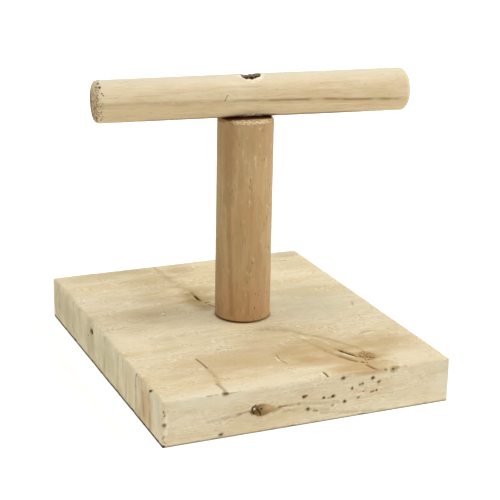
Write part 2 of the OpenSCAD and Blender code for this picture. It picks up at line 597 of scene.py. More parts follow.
# Each row: tone, strength, half width, depth and the points, by X and Y on the top, X and Z on the
# front, Y and Z on the left, X, Y and Z on an arris
MARK_ROWS: tuple[tuple[Face, tuple[tuple[Any, ...], ...]], ...] = (
    # Across the top, from the back edge to the left of the post
    (Face.TOP, (
        (TAN, 0.6, 1.6, 0.05, -17, 98, -16.5, 91), (GREY, 0.36, 5, 0, -16.5, 88, -13.5, 60, -12.4, 44),
        (GREY, 0.46, 6, 0.1, -13.5, 47, -15.5, 30, -12, 17), (BROWN, 0.6, 1, 0.2, -11.6, 45.4, -11.5, 43.4),
        (BROWN, 0.75, 1.3, 0.25, -11.5, 41.4, -11.6, 31), (PITCH, 0.9, 0.9, 0.35, -11.6, 39.4, -11.6, 34),
        (BROWN, 0.75, 1.1, 0.2, -9.9, 26.6, -7.6, 27), (BROWN, 0.6, 1.3, 0.2, -9.1, 22.9, -7.2, 18.8),
        (CREAM, 0.46, 0.9, 0, -4.8, 47, -5.4, 44.5), (CREAM, 0.46, 0.9, 0, -2, 42, -2.8, 39),
    )),
    # Left of the post
    (Face.TOP, (
        (BROWN, 0.6, 0.8, 0.1, -39.8, 15.2), (CREAM, 0.75, 0.8, 0, -40.2, 17.6, -39, 18.6),
        (BROWN, 0.36, 0.8, 0.05, -43.5, 17),
    )),
    # Near the front, left and middle
    (Face.TOP, (
        (BROWN, 0.75, 0.75, 0.3, -46.2, -52.5, -45.6, -58.5, -45.3, -66),
        (GREY, 0.46, 2.2, 0.1, -45.2, -66.7, -45.6, -80, -47.5, -88),
        (GREY, 0.6, 1.4, 0.05, -48.2, -87.5, -47.5, -96.1, -48.2, -99.6),
        (BROWN, 0.6, 0.5, 0.15, -3.6, -62.5, -4.4, -68), (BROWN, 0.6, 0.5, 0.15, -4.2, -70, -3.3, -75.6),
        (CREAM, 0.6, 0.7, 0, -5.2, -66, -5.6, -70.5), (PITCH, 0.75, 0.6, 0.3, 9.8, -93.4, 9.7, -98.6),
        (CREAM, 0.75, 0.7, 0, 8.4, -94, 8.6, -97.6),
    )),
    # The long leaf of grain that runs down to the knot at the right
    (Face.TOP, (
        (GREY, 0.46, 4.4, 0.1, 5, -25, 14, -29, 21.7, -37),
        (GREY, 0.46, 2.4, 0.1, 21.7, -38, 28.3, -45, 34.2, -52.5),
        (GREY, 0.46, 2.1, 0.1, 34.2, -52.5, 38.2, -60.5, 43.4, -71.6),
        (GREY, 0.36, 2.2, 0.1, 17.5, -40, 20.8, -53.3, 24.2, -66.7),
        (BROWN, 0.46, 2.2, 0.1, 24.2, -66.7, 28, -77, 32.6, -85.1),
        (GREY, 0.75, 1.8, 0.1, 28.4, -76, 30.8, -81.8, 33, -86), (CREAM, 0.46, 1.6, 0, 27, -47, 30.5, -58),
        (BROWN, 0.36, 1.9, 0.3, 30.2, -66, 36.9, -79.6), (PITCH, 0.9, 1.05, 0.5, 31.8, -68.6, 35.4, -76.8),
        (PITCH, 0.6, 0.5, 0.3, 31.2, -67.4, 36.6, -79.4), (CREAM, 0.75, 0.9, 0, 31.4, -74, 34.6, -80),
        (PITCH, 0.75, 0.8, 0.4, 35.4, -87.4, 36.1, -88.4),
        (BROWN, 0.75, 0.55, 0.3, 43.1, -73.6, 43.1, -75.4),
        (BROWN, 0.75, 0.55, 0.3, 41.8, -79.2, 41.8, -80.8),
        (BROWN, 0.75, 0.55, 0.3, 39.4, -79.4, 39.3, -81.4),
        (BROWN, 0.75, 0.55, 0.3, 38.6, -84.8, 38.7, -86.4),
        (BROWN, 0.75, 0.55, 0.3, 40.4, -85, 40.2, -86.4),
        (BROWN, 0.75, 0.55, 0.3, 37.8, -88.6, 37.6, -90.2),
        (BROWN, 0.75, 0.55, 0.3, 43.2, -81.8, 43.3, -83.4), (RUST, 0.46, 2.4, 0.05, 43.9, -84.2, 47, -85.4),
        (BROWN, 0.75, 1.3, 0.2, 36, -92.6, 37.3, -98), (BROWN, 0.6, 0.7, 0.1, 37.5, -98.2, 39.2, -99.6),
        (TAN, 0.6, 0.9, 0.05, 46.5, -89.6, 49.4, -90.7), (BROWN, 0.36, 1.2, 0.1, 71, -7, 73.4, -1.5),
        (BROWN, 0.36, 1.2, 0.05, 54, -50.5, 58, -47.8, 64, -48.5), (CREAM, 0.6, 0.9, 0, 56, -52, 62, -50.6),
    )),
    # At the far right corner
    (Face.TOP, (
        (BROWN, 0.36, 1.4, 0.1, 58, 83.5, 68, 82.5),
    )),
    # On the long arris at the front
    (Face.ARRIS, (
        (PITCH, 0.9, 1.1, 0.25, -48.6, -99.6, 24.6, -48, -99.6, 24.6),
        (BROWN, 0.75, 1.5, 0.1, -49.2, -99.5, 24.5, -47.2, -99.5, 24.5),
        (GREY, 0.6, 0.8, 0.05, -58.2, -99.5, 24.6, -55.6, -99.5, 24.7),
        (GREY, 0.6, 0.7, 0.05, -54.4, -99.5, 24.8, -52.6, -99.5, 24.8),
        (GREY, 0.6, 0.6, 0.05, -45.5, -99.7, 24.4, -40, -99.6, 24.8),
        (BROWN, 0.75, 0.8, 0.3, 43.2, -99.8, 24.2, 43.5, -99.8, 24.2),
        (GREY, 0.75, 2.6, 0.3, 47.9, -99.8, 23.8, 48.8, -99.7, 24.2),
        (GREY, 0.6, 1.5, 0.1, 50.9, -99.4, 24.7), (PITCH, 0.75, 0.8, 0.4, 48, -99.8, 23.8),
        (CREAM, 0.6, 0.8, 0, 45.2, -99.8, 23.2, 46, -99.8, 24.6),
    )),
    # Pin holes along the front
    (Face.FRONT, (
        (PITCH, 0.9, 0.95, 0.5, -4.6, 15.9), (PITCH, 0.75, 0.75, 0.3, -4, 16.1, -3, 16.4),
        (PITCH, 0.9, 0.75, 0.3, 6.9, 13.6, 7.4, 13.6), (PITCH, 0.9, 1, 0.3, 19.4, 9.6, 19.7, 9.6),
        (PITCH, 0.9, 0.85, 0.5, 23.7, 16.4), (PITCH, 0.9, 1.1, 0.4, 35.6, 20.5, 36, 20.6),
        (PITCH, 0.75, 0.9, 0.3, 39.2, 17.7, 39.7, 17.9), (PITCH, 0.9, 0.7, 0.5, 38.3, 13.1),
        (PITCH, 0.9, 0.95, 0.5, 13.1, 13.7, 12.5, 13.6), (GREY, 0.6, 0.9, 0.1, 9.8, 13.1, 12.6, 13.5),
        (PITCH, 0.75, 0.95, 0.5, 17.7, 22.9, 18.6, 23.1), (PITCH, 0.75, 0.85, 0.4, 29.8, 18.2),
        (PITCH, 0.6, 0.7, 0.3, 28.3, 17.9), (PITCH, 0.9, 1.15, 0.4, -1.8, 8.6),
        (GREY, 0.75, 0.9, 0.15, 1.6, 7.2, 3.6, 6.9), (BROWN, 0.6, 0.7, 0.1, 12.2, 8.5, 12.8, 8.5),
        (BROWN, 0.75, 0.85, 0.2, 27.3, 10.4, 27.9, 10.7), (BROWN, 0.75, 0.8, 0.1, 35, 12.7, 36.4, 12.9),
        (BROWN, 0.6, 0.6, 0.1, 30.2, 13.7, 30.9, 13.7), (PITCH, 0.75, 0.9, 0.4, -51.2, 2.2, -50.3, 2.4),
        (RUST, 0.36, 0.9, 0.1, 26.4, 15.4), (BROWN, 0.46, 0.55, 0.2, 32, 15.6),
        (CREAM, 0.6, 0.7, 0, -3.2, 17.6), (CREAM, 0.6, 0.7, 0, 14.4, 15), (CREAM, 0.6, 0.7, 0, 20.9, 10.6),
        (CREAM, 0.6, 0.7, 0, 25, 17.4), (CREAM, 0.6, 0.7, 0, 31, 19.2), (CREAM, 0.6, 0.7, 0, -0.4, 10),
        (CREAM, 0.6, 0.7, 0, 19.6, 21.6), (CREAM, 0.6, 0.7, 0, 37, 21.6),
    )),
    # Inside the knot in the front: a curled dark line, a dot and a pale spot
    (Face.FRONT, (
        (CREAM, 0.9, 0.75, 0, -32.3, 13.5),
        (PITCH, 0.9, 0.5, 0.2, -31.6, 15.4, -33.5, 14.5, -33.7, 12.9, -32.7, 11),
        (PITCH, 0.75, 0.42, 0.2, -32.7, 11, -32, 12.1),
        (PITCH, 0.9, 0.6, 0.2, -31, 13.2, -29.5, 11.7, -28.9, 10.2), (PITCH, 0.9, 0.85, 0.3, -28.4, 12.9),
        (PITCH, 0.75, 0.36, 0.2, -29, 11, -28.8, 9.5), (BROWN, 0.75, 0.6, 0.1, -32.7, 10.8, -30.7, 10.7),
        (BROWN, 0.6, 0.7, 0.1, -35, 12.6, -33.6, 10.6), (CREAM, 0.46, 0.9, 0, -30, 16.9, -27.6, 17),
        (GREY, 0.6, 1.4, 0.1, -21.6, 10.9, -18, 12.3),
    )),
    # Grain that closes round that knot and runs out on both sides
    (Face.FRONT, (
        (BROWN, 0.36, 1.4, 0.05, -58, 10.4, -46, 11.2, -40, 12),
        (BROWN, 0.46, 1, 0.05, -41.5, 11.9, -35.6, 12.8), (BROWN, 0.6, 0.8, 0.05, -18.4, 12.4, -14.6, 12.7),
        (BROWN, 0.46, 1.2, 0.05, -14, 12.6, -7, 12.3), (GREY, 0.36, 1.5, 0.05, -7, 12.6, 6, 10.6, 16, 9.8),
        (GREY, 0.36, 1.5, 0, 6, 5.4, 24, 3, 44, 1.2), (GREY, 0.36, 1.5, 0, -16, 10, -2, 8.6, 10, 6.6),
    )),
    # Chips along the upright arris between the left and the front
    (Face.ARRIS, (
        (CREAM, 0.75, 1.3, 0, -80.4, -100, 17.6, -80.6, -100, 14.8),
        (CREAM, 0.75, 1.2, 0, -80.2, -100, 9.6, -80.4, -100, 7.6),
        (BROWN, 0.75, 0.7, 0.4, -81.7, -99.6, 19.8, -81.5, -99.6, 19.2),
        (BROWN, 0.75, 0.65, 0.4, -80.9, -99.8, 18, -81.3, -99.6, 17.2),
        (BROWN, 0.6, 0.6, 0.3, -82.3, -99, 15.8),
        (BROWN, 0.9, 1.35, 0.5, -82, -99.5, 12.2, -81.2, -99.8, 12.5),
        (PITCH, 0.6, 0.5, 0.5, -81.6, -99.6, 12.2), (CREAM, 0.9, 0.8, 0, -79.6, -100, 11.5),
        (BROWN, 0.6, 0.5, 0.3, -81.3, -99.7, 6.6, -82.1, -99.2, 4.6),
        (BROWN, 0.6, 0.45, 0.3, -81.8, -99.5, 3.8, -80.8, -99.9, 2.5),
    )),
    # End grain on the left
    (Face.LEFT, (
        (CREAM, 0.75, 1.1, 0, 16.4, 20.4, 17.6, 17.8), (BROWN, 0.75, 2.1, 0.4, 18.4, 19.3, 20.6, 18.9),
        (PITCH, 0.9, 1.7, 1.2, 18.6, 19.4, 20.2, 18.9), (BROWN, 0.6, 0.5, 0.1, 20.8, 18.6, 22.8, 18.4),
        (BROWN, 0.6, 0.7, 0, 25.6, 14.6, 26.8, 14),
    )),
    (Face.ARRIS, (
        (BROWN, 0.75, 0.75, 0.3, -82.2, -59.6, 25, -82.5, -59.2, 22.8),
    )),
    (Face.LEFT, (
        (BROWN, 0.6, 0.8, 0.2, -58.6, 21.6, -58.4, 17), (BROWN, 0.46, 1.7, 0.2, -58.6, 17, -58.2, 3),
        (BROWN, 0.36, 2.2, 0.1, -42.8, 23.5, -42, 4), (GREY, 0.36, 2.2, 0.1, -29, 23.5, -28, 2),
        (GREY, 0.36, 3, 0, -5, 23.5, -4, 2),
    )),
    (Face.ARRIS, (
        (BROWN, 0.75, 0.9, 0.3, -82.1, -83.4, 25, -82.5, -80.2, 23),
        (PITCH, 0.75, 0.7, 0.3, -82.2, -82.6, 24.6, -82.5, -80.6, 23.1),
    )),
    (Face.LEFT, (
        (RUST, 0.46, 2.4, 0.1, -79.6, 21, -81, 9, -80.2, 2.5), (RUST, 0.46, 2.6, 0.1, -70, 18, -71.4, 6),
        (RUST, 0.36, 2, 0, -66, 8, -66, 3), (BROWN, 0.6, 1.1, 0.1, 88.3, 13, 87.9, 10.2),
        (BROWN, 0.36, 1.6, 0, 46, 4, 58, 8.6),
    )),
)
BOARD_MARKS = tuple(Mark.on(face, *row) for face, rows in MARK_ROWS for row in rows)

# Each row: red, green and blue as seen on a screen, strength, middle and reach along X, Y and Z
CLOUD_ROWS: tuple[tuple[float, ...], ...] = (
    (208, 180, 132, 0.34, -22, -70, 25, 58, 22, 7), (190, 158, 108, 0.44, -20, -62, 25, 54, 24, 7),
    (186, 150, 100, 0.5, 14, -82, 25, 13, 9, 5), (194, 166, 118, 0.36, -60, -70, 25, 18, 9, 5),
    (194, 164, 114, 0.36, 8, -60, 25, 15, 18, 5), (180, 156, 114, 0.48, -4, 88, 25, 13, 18, 6),
    (172, 158, 120, 0.45, -38, 96, 25, 22, 8, 6), (196, 172, 128, 0.45, -34, 43, 25, 16, 14, 6),
    # The pale patch at X -14, Y -4 is painted light against the post's shadow on the top
    (176, 144, 88, 0.4, -15, 19, 25, 9, 8, 5), (246, 224, 188, 0.45, -14, -4, 25, 8, 9, 5),
    (236, 226, 200, 0.45, -76, -9, 25, 12, 15, 5), (178, 156, 110, 0.5, -28, 76, 25, 22, 26, 7),
    (190, 168, 124, 0.35, -62, 92, 25, 26, 10, 6), (240, 226, 192, 0.5, -46, -8, 25, 44, 9, 5),
    # The patch at X 20, Y 14 is painted shade beside the post
    (238, 224, 190, 0.45, -70, -24, 25, 18, 14, 5), (196, 178, 138, 0.45, 20, 14, 25, 8, 12, 4),
    # The pale patch at X -8, Y -17 is painted light against the shade round the post's foot
    (242, 224, 180, 0.5, -8, -17, 25, 18, 9, 5), (226, 214, 184, 0.6, -42, -95.5, 24, 58, 9.5, 9),
    (230, 216, 186, 0.6, 66, -86, 24, 18, 15, 9), (200, 164, 112, 0.7, 33, -76, 25, 22, 17, 7),
    (184, 146, 98, 0.6, 42, -81, 25, 8.5, 10, 5), (186, 162, 114, 0.45, -45, 19, 25, 30, 15, 6),
    (168, 142, 96, 0.3, -47, 18, 25, 13, 7, 6), (172, 150, 104, 0.6, -10, 38, 25, 14, 26, 6),
    (168, 142, 90, 0.6, -12, 31, 25, 13, 13, 6), (200, 178, 134, 0.55, -3, 48, 25, 12, 24, 6),
    (190, 172, 146, 0.6, 72, 93, 25, 15, 8, 6), (192, 192, 168, 0.36, 46, 6, 25, 38, 38, 8),
    (204, 188, 152, 0.5, 72, 74, 25, 20, 20, 6), (196, 165, 115, 0.8, 34, -92, 25, 26, 12, 4),
    (186, 150, 104, 0.45, 35, -99, 25, 9, 4, 3), (206, 190, 150, 0.34, 44, 32, 25, 32, 30, 6),
    (196, 168, 118, 0.75, 60, -66, 25, 24, 16, 6), (196, 164, 112, 0.62, 26, -60, 25, 26, 16, 6),
    (204, 166, 112, 0.6, -82.5, -74, 11, 6, 14, 20), (216, 194, 148, 0.5, -82.5, -50, 13, 6, 9, 18),
    (204, 192, 150, 0.55, -82.5, -12, 12, 6, 22, 18), (188, 172, 132, 0.5, -82.5, 25, 12, 6, 16, 24),
    (198, 180, 140, 0.35, -82.5, 90, 14, 6, 12, 16), (190, 172, 130, 0.5, -82.5, 0, -1, 6, 120, 7),
    # The patch at Y 70 on the left face is painted shade towards its far end
    (194, 176, 138, 0.55, -82.5, 70, 12, 6, 32, 18), (206, 182, 142, 0.3, -40, -100, 12, 22, 6, 8),
    (212, 186, 146, 0.3, 2, -100, 18, 22, 6, 8), (200, 176, 128, 0.26, -22, -100, 4, 60, 6, 7),
    (234, 224, 198, 0.5, -60, -100, 22.5, 30, 6, 5), (230, 218, 190, 0.45, 76, -100, 22.5, 9, 6, 6),
    (228, 212, 176, 0.35, 66, -100, 7, 22, 6, 7), (234, 224, 200, 0.45, 79, -100, 10, 9, 6, 12),
)
BOARD_CLOUDS = tuple(Cloud(tint(*row[:3]), row[3], row[4:7], row[7:]) for row in CLOUD_ROWS)


@dataclass(frozen=True)
class Knot:
    """A knot whose branch ran along one axis: the grain of the board parts round it."""

    middle: Point
    branch: int
    radius: float
    stretch: float
    tail: float
    core_shift: float
    body: Tint
    bright: Tint
    core: Tint
    solid: float
    flecked: float

    def across_deep(self, y: Any, z: Any) -> tuple[Any, Any]:
        """What lies across the branch and what lies along it, of two parts of a place."""
        return (z, y) if self.branch == 1 else (y, z)


BOARD_KNOTS: tuple[Knot, ...] = (
    Knot(
        (-28.5, -100, 12.4), 1, 3.3, 1.76, 0.76, -3,
        tint(150, 116, 80), tint(200, 162, 116), tint(98, 64, 38), 0.95, 0,
    ),
    Knot(
        (42, -80.5, 25), 2, 6, 0.72, 1, 0,
        tint(178, 144, 92), tint(188, 154, 100), tint(134, 98, 52), 0.36, 0.85,
    ),
)


# Finishes


@dataclass(frozen=True)
class KnottyBoard:
    """Raw sanded softwood: rings round a pith far behind, long fibres, knots, and dark end grain."""

    middle: Point
    half: Pair = (BOARD_SIZE[0] / 2, BOARD_SIZE[1] / 2)
    thick: float = BOARD_SIZE[2]
    foot: Pair = POST_PLACE
    pith: Pair = (176, -46)
    ring: float = 9
    pale: Tint = tint(232, 219, 188)
    straw: Tint = tint(222, 204, 164)
    late: Tint = tint(196, 170, 124)
    end: Tint = tint(234, 222, 186)
    end_dark: Tint = tint(190, 172, 130)
    resin: Tint = tint(158, 130, 74)
    # Colour of the painted contact shadow along the board's lowest arris
    contact_shade: Tint = tint(44, 36, 20)

    def make(self) -> Material:
        """Builds the material.

        Returns:
            The finished material.
        """
        s = Shade("knotty_board")
        at = s.place(self.middle)
        x, y, z = s.parts(at)
        bent = (y, z)
        for knot in BOARD_KNOTS:
            bent = self._part_round(x, bent, knot)
        grain_at = s.join(x, *bent)
        back, down = bent[0] - self.pith[0], bent[1] - self.pith[1]
        wave = s.noise(at, (190, 40, 40), 1) * 16 + s.noise(at, (90, 9, 9)) * 5
        turn = (((back * back + down * down).root() + wave) / self.ring).part()
        late = turn.step(0.35, 0.86) * turn.step(1, 0.92)
        blotch = s.noise(at, (20, 9, 9))
        streak = s.noise(grain_at, (46, 1.1, 1.1), 3, 0.6)
        fibre = s.noise(grain_at, (9, 0.55, 0.55), 2, 0.6)
        thread = s.noise(grain_at, (8, 0.95, 0.95), 1)
        hue = s.noise(grain_at, (14, 5, 5), 1)
        hair = s.cells(s.vector("ADD", at, s.join(0, streak * 2, 0)), (3.4, 0.9, 0.9))
        crumb = s.cells(at, (1.9, 2.8, 0.9))
        cluster = s.noise(at, (12, 10, 6)).step(0.45, 0.6)
        tone = s.paint(
            self.pale,
            (s.noise(grain_at, (70, 20, 16)).step(0.36, 0.66), self.straw),
            (late * (blotch.step(0.42, 0.7) * 0.16 + 0.03), self.late),
            (streak, 0.5, 0.8, 0.3, self.late),
            (streak, 0.46, 0.22, 0.4, CREAM.value),
            (fibre, 0.52, 0.8, 0.3, self.late),
            (thread, 0.52, 0.72, 0.3, tint(198, 178, 130)),
            (thread, 0.46, 0.28, 0.4, CREAM.value),
            (hue, 0.54, 0.7, 0.3, tint(228, 200, 170)),
            (hue, 0.46, 0.3, 0.25, tint(218, 210, 166)),
            (hair.step(0.28, 0.12) * blotch.step(0.4, 0.56) * 0.42, self.late),
            (hair, 0.7, 0.84, 0.35, CREAM.value),
            (crumb.step(0.32, 0.14) * cluster * 0.55, tint(178, 152, 104)),
            (crumb.step(0.64, 0.8) * cluster * 0.62, CREAM.value),
        )
        end_face = abs(x).step(self.half[0] - 1.1, self.half[0] - 0.25)
        speck = s.noise(at, (0.9, 0.8, 0.6), 2, 0.7)
        end_tone = s.paint(
            self.end,
            (late * 0.14 + s.noise(at, (60, 7, 42), 2, 0.6).step(0.42, 0.72) * 0.4, self.end_dark),
            (speck, 0.54, 0.74, 0.4, self.end_dark),
            (speck, 0.44, 0.26, 0.5, CREAM.value),
        )
        clouds = [(self._cloud(s, at, cloud, blotch), cloud.tone) for cloud in BOARD_CLOUDS]
        jitter = s.noise(at, 1.3) * 1.4 - 0.7
        tone = self._edges(s, at, jitter, s.paint(tone, (end_face, end_tone), *clouds))
        for knot in BOARD_KNOTS:
            tone = self._knot(s, at, knot, jitter, tone)
        tone, dents = self._marks(s, at, jitter, tone)
        height = streak * 0.5 + fibre * 0.5 + late * 0.35 + speck * end_face * 0.8 - dents * 2.5
        return s.finish(tone, fibre * 0.16 + 0.7, 0.12, height, 0.11)

    def _edges(self, s: Shade, at: Sock, jitter: Sock, tone: Sock) -> Sock:
        """Paints a contact shadow along the lowest arris, darker at the left, and a warm ring of shade round
        the post's foot, both painted shade, and the dull arris at the back.

        Args:
            s: The material.
            at: Where it is read.
            jitter: What roughens an edge.
            tone: The colour below.

        Returns:
            The painted colour.
        """
        x, y, z = s.parts(at)
        left = (x + self.half[0]).step(2.2, 0.6)
        under = (z + jitter * 0.3 - left * 0.75).step(1.3, 0.55)
        side = (abs(x) - self.half[0]).most(abs(y) - self.half[1]).step(-3.2, -1.8)
        foot_x, foot_y = x - self.foot[0], y - self.foot[1]
        ring = (foot_x * foot_x + foot_y * foot_y).root().step(17.2, 16.1)
        behind = y.step(self.half[1] - 1.5, self.half[1] - 0.5)
        worn = s.noise(at, 5).step(0.3, 0.6) * 0.3 + 0.25
        return s.paint(
            tone,
            # Painted contact shadow along the lowest arris of the sides, darker at the left
            (under * side * (left * 0.4 + 0.58), self.contact_shade),
            # Painted shade: a warm ring round the post's foot, where its contact shadow falls
            (ring * z.step(self.thick - 2, self.thick - 0.5) * 0.5, tint(176, 138, 72)),
            (behind * z.step(self.thick - 4, self.thick - 1.5) * worn, BROWN.value),
        )

    def _marks(self, s: Shade, at: Sock, jitter: Sock, tone: Sock) -> tuple[Sock, Sock]:
        """Paints the marks, tone after tone, with resin round the darkest.

        Args:
            s: The material.
            at: Where it is read.
            jitter: What roughens an edge.
            tone: The colour below.

        Returns:
            The painted colour and the mask of the darkest marks.
        """
        flat = self._flat(s, at)
        broken = s.noise(at, 5)
        dents = jitter
        for kind in Tone:
            fields = self._fields(s, flat, kind)
            masks = [self._mask(away, strength, jitter, broken) for strength, away in fields.items()]
            if kind is PITCH:
                near = reduce(Sock.least, fields.values()) + broken * 1.4 - 0.7
                tone = s.paint(tone, (near, 2.1, 0.7, 0.36, self.resin))
                dents = reduce(Sock.most, masks)
            tone = s.paint(tone, *((mask, kind.value) for mask in masks))
        return tone, dents

    def _flat(self, s: Shade, at: Sock) -> Sock:
        """Moves each point onto the face that it lies close under, so that a dent keeps its mark's tone.

        Args:
            s: The material.
            at: The points.

        Returns:
            The moved points.
        """
        x, y, z = s.parts(at)
        a = x.step(1.7 - self.half[0], 1.3 - self.half[0])
        b = y.step(1.1 - self.half[1], 0.8 - self.half[1])
        c = z.step(self.thick - 1.1, self.thick - 0.8)
        x = x + a * (1 - b) * (1 - c) * (-self.half[0] - x)
        y = y + b * (1 - a) * (1 - c) * (-self.half[1] - y)
        return s.join(x, y, z + c * (1 - a) * (1 - b) * (self.thick - z))

    @staticmethod
    def _part_round(x: Sock, bent: tuple[Sock, Sock], knot: Knot) -> tuple[Sock, Sock]:
        """Bends the grain round a knot: across less across R^2 / (rho^2 + 0.8 R^2), as a stream does.

        Args:
            x: Places along the grain.
            bent: The two parts across it.
            knot: The knot.

        Returns:
            The two parts across, bent.
        """
        dx = (x - knot.middle[0]) / (knot.stretch * 1.5)
        across, deep = knot.across_deep(*bent)
        off = across - knot.across_deep(*knot.middle[1:])[0]
        square = (knot.radius * 1.35) ** 2
        depth = abs(deep - knot.middle[knot.branch]).step(18, 6)
        across = across - off * depth * (square / (dx * dx + off * off + square * 0.8))
        return knot.across_deep(across, deep)

    @staticmethod
    def _cloud(s: Shade, at: Sock, cloud: Cloud, blotch: Sock) -> Sock:
        """Strength of a soft patch at each point, broken by blotches."""
        off = s.in_cells(s.vector("SUBTRACT", at, cloud.middle), cloud.reach)
        return ((s.vector("LENGTH", off) + blotch * 1.3 - 0.65).step(1.15, 0.15) * cloud.strength).held()

    @staticmethod
    def _fields(s: Shade, at: Sock, kind: Tone) -> dict[float, Sock]:
        """Distances to the marks of one tone, in widths of each mark, joined where their strength is alike.

        Args:
            s: The material.
            at: Where they are read.
            kind: The tone.

        Returns:
            For each strength, the distance to the nearest mark of that strength.
        """
        found: dict[float, list[Sock]] = {}
        for mark in (m for m in BOARD_MARKS if m.tone is kind):
            away = reduce(Sock.least, [s.rod(at, a, b) for a, b in rods_of(mark.path)]) * (1 / mark.width)
            found.setdefault(mark.strength, []).append(away)
        return {strength: reduce(Sock.least, fields) for strength, fields in sorted(found.items())}

    @staticmethod
    def _mask(away: Sock, strength: float, jitter: Sock, blotch: Sock) -> Sock:
        """Strength of marks at each point: a crisp core with a ragged edge, or a faint mark that breaks up.

        Args:
            away: Distance to the marks, in their widths.
            strength: How much they hide.
            jitter: What roughens an edge.
            blotch: What breaks up a faint mark.

        Returns:
            The mask.
        """
        if strength >= 0.5:
            return (away + jitter * 0.4).step(1.15, 0.25) * strength
        return (away + blotch * 1.1 - 0.55 + jitter * 0.3).step(1.15, 0) * blotch.step(0.25, 0.6) * strength

    @staticmethod
    def _knot(s: Shade, at: Sock, knot: Knot, jitter: Sock, tone: Sock) -> Sock:
        """Paints a knot: a soft halo, a pointed body that runs out to the right, its dark rim and its core.

        Args:
            s: The material.
            at: Where it is read.
            knot: The knot.
            jitter: What roughens an edge.
            tone: The colour below.

        Returns:
            The painted colour.
        """
        x, y, z = s.parts(s.vector("SUBTRACT", at, knot.middle))
        across, deep = knot.across_deep(y, z)
        near = abs(deep).step(8, 3)
        r = knot.radius
        wild = jitter + s.noise(at, 3, 1) * 1.6 - 0.8
        long = x.most(0) * knot.tail + x.least(0)
        lens = long * long * (0.8 / (r * knot.stretch**2)) + (across * across + 0.3).root() + wild * 0.45
        off = x - knot.core_shift
        core = (off * off * (1 / knot.stretch) + across * across).root() + wild * 0.6
        body = s.paint(
            knot.body,
            (x.step(-r * 0.2, r * 1.3), knot.bright),
            (across.step(r * 0.3, -r * 0.6) * (1 - knot.flecked) * 0.7, tint(132, 106, 52)),
        )
        solid = near * (x.step(r * 3.2, r * 0.8) * 0.45 + 0.55) * knot.solid
        rim_side = (x.step(r * 1.2, -r * 0.8) * 0.8 + 0.2).most(across.step(0, -r * 0.8) * 0.7)
        rim = lens.step(r * 1.14, r) * lens.step(r * 0.7, r * 0.92) * rim_side
        dark = s.cells(at, (1.3, 2.4, 1.3)).step(0.46, 0.28) * lens.step(r * 1.25, r * 0.8) * near
        grit = s.cells(s.vector("ADD", at, (0.6, 1.1, 0.6)), (1.4, 2.6, 1.4))
        light = grit.step(0.34, 0.18) * lens.step(r * 1.3, r * 0.7) * near
        return s.paint(
            tone,
            (lens.step(r * 1.7, r * 0.9) * near * 0.3, TAN.value),
            (lens, r * 1.06, r * 0.84, solid, body),
            (rim * solid * 0.6, BROWN.value),
            (core.step(r * 0.86, r * 0.4) * solid * 0.85, knot.core),
            (dark * knot.flecked, BROWN.value),
            (light * knot.flecked * 0.5, CREAM.value),
        )


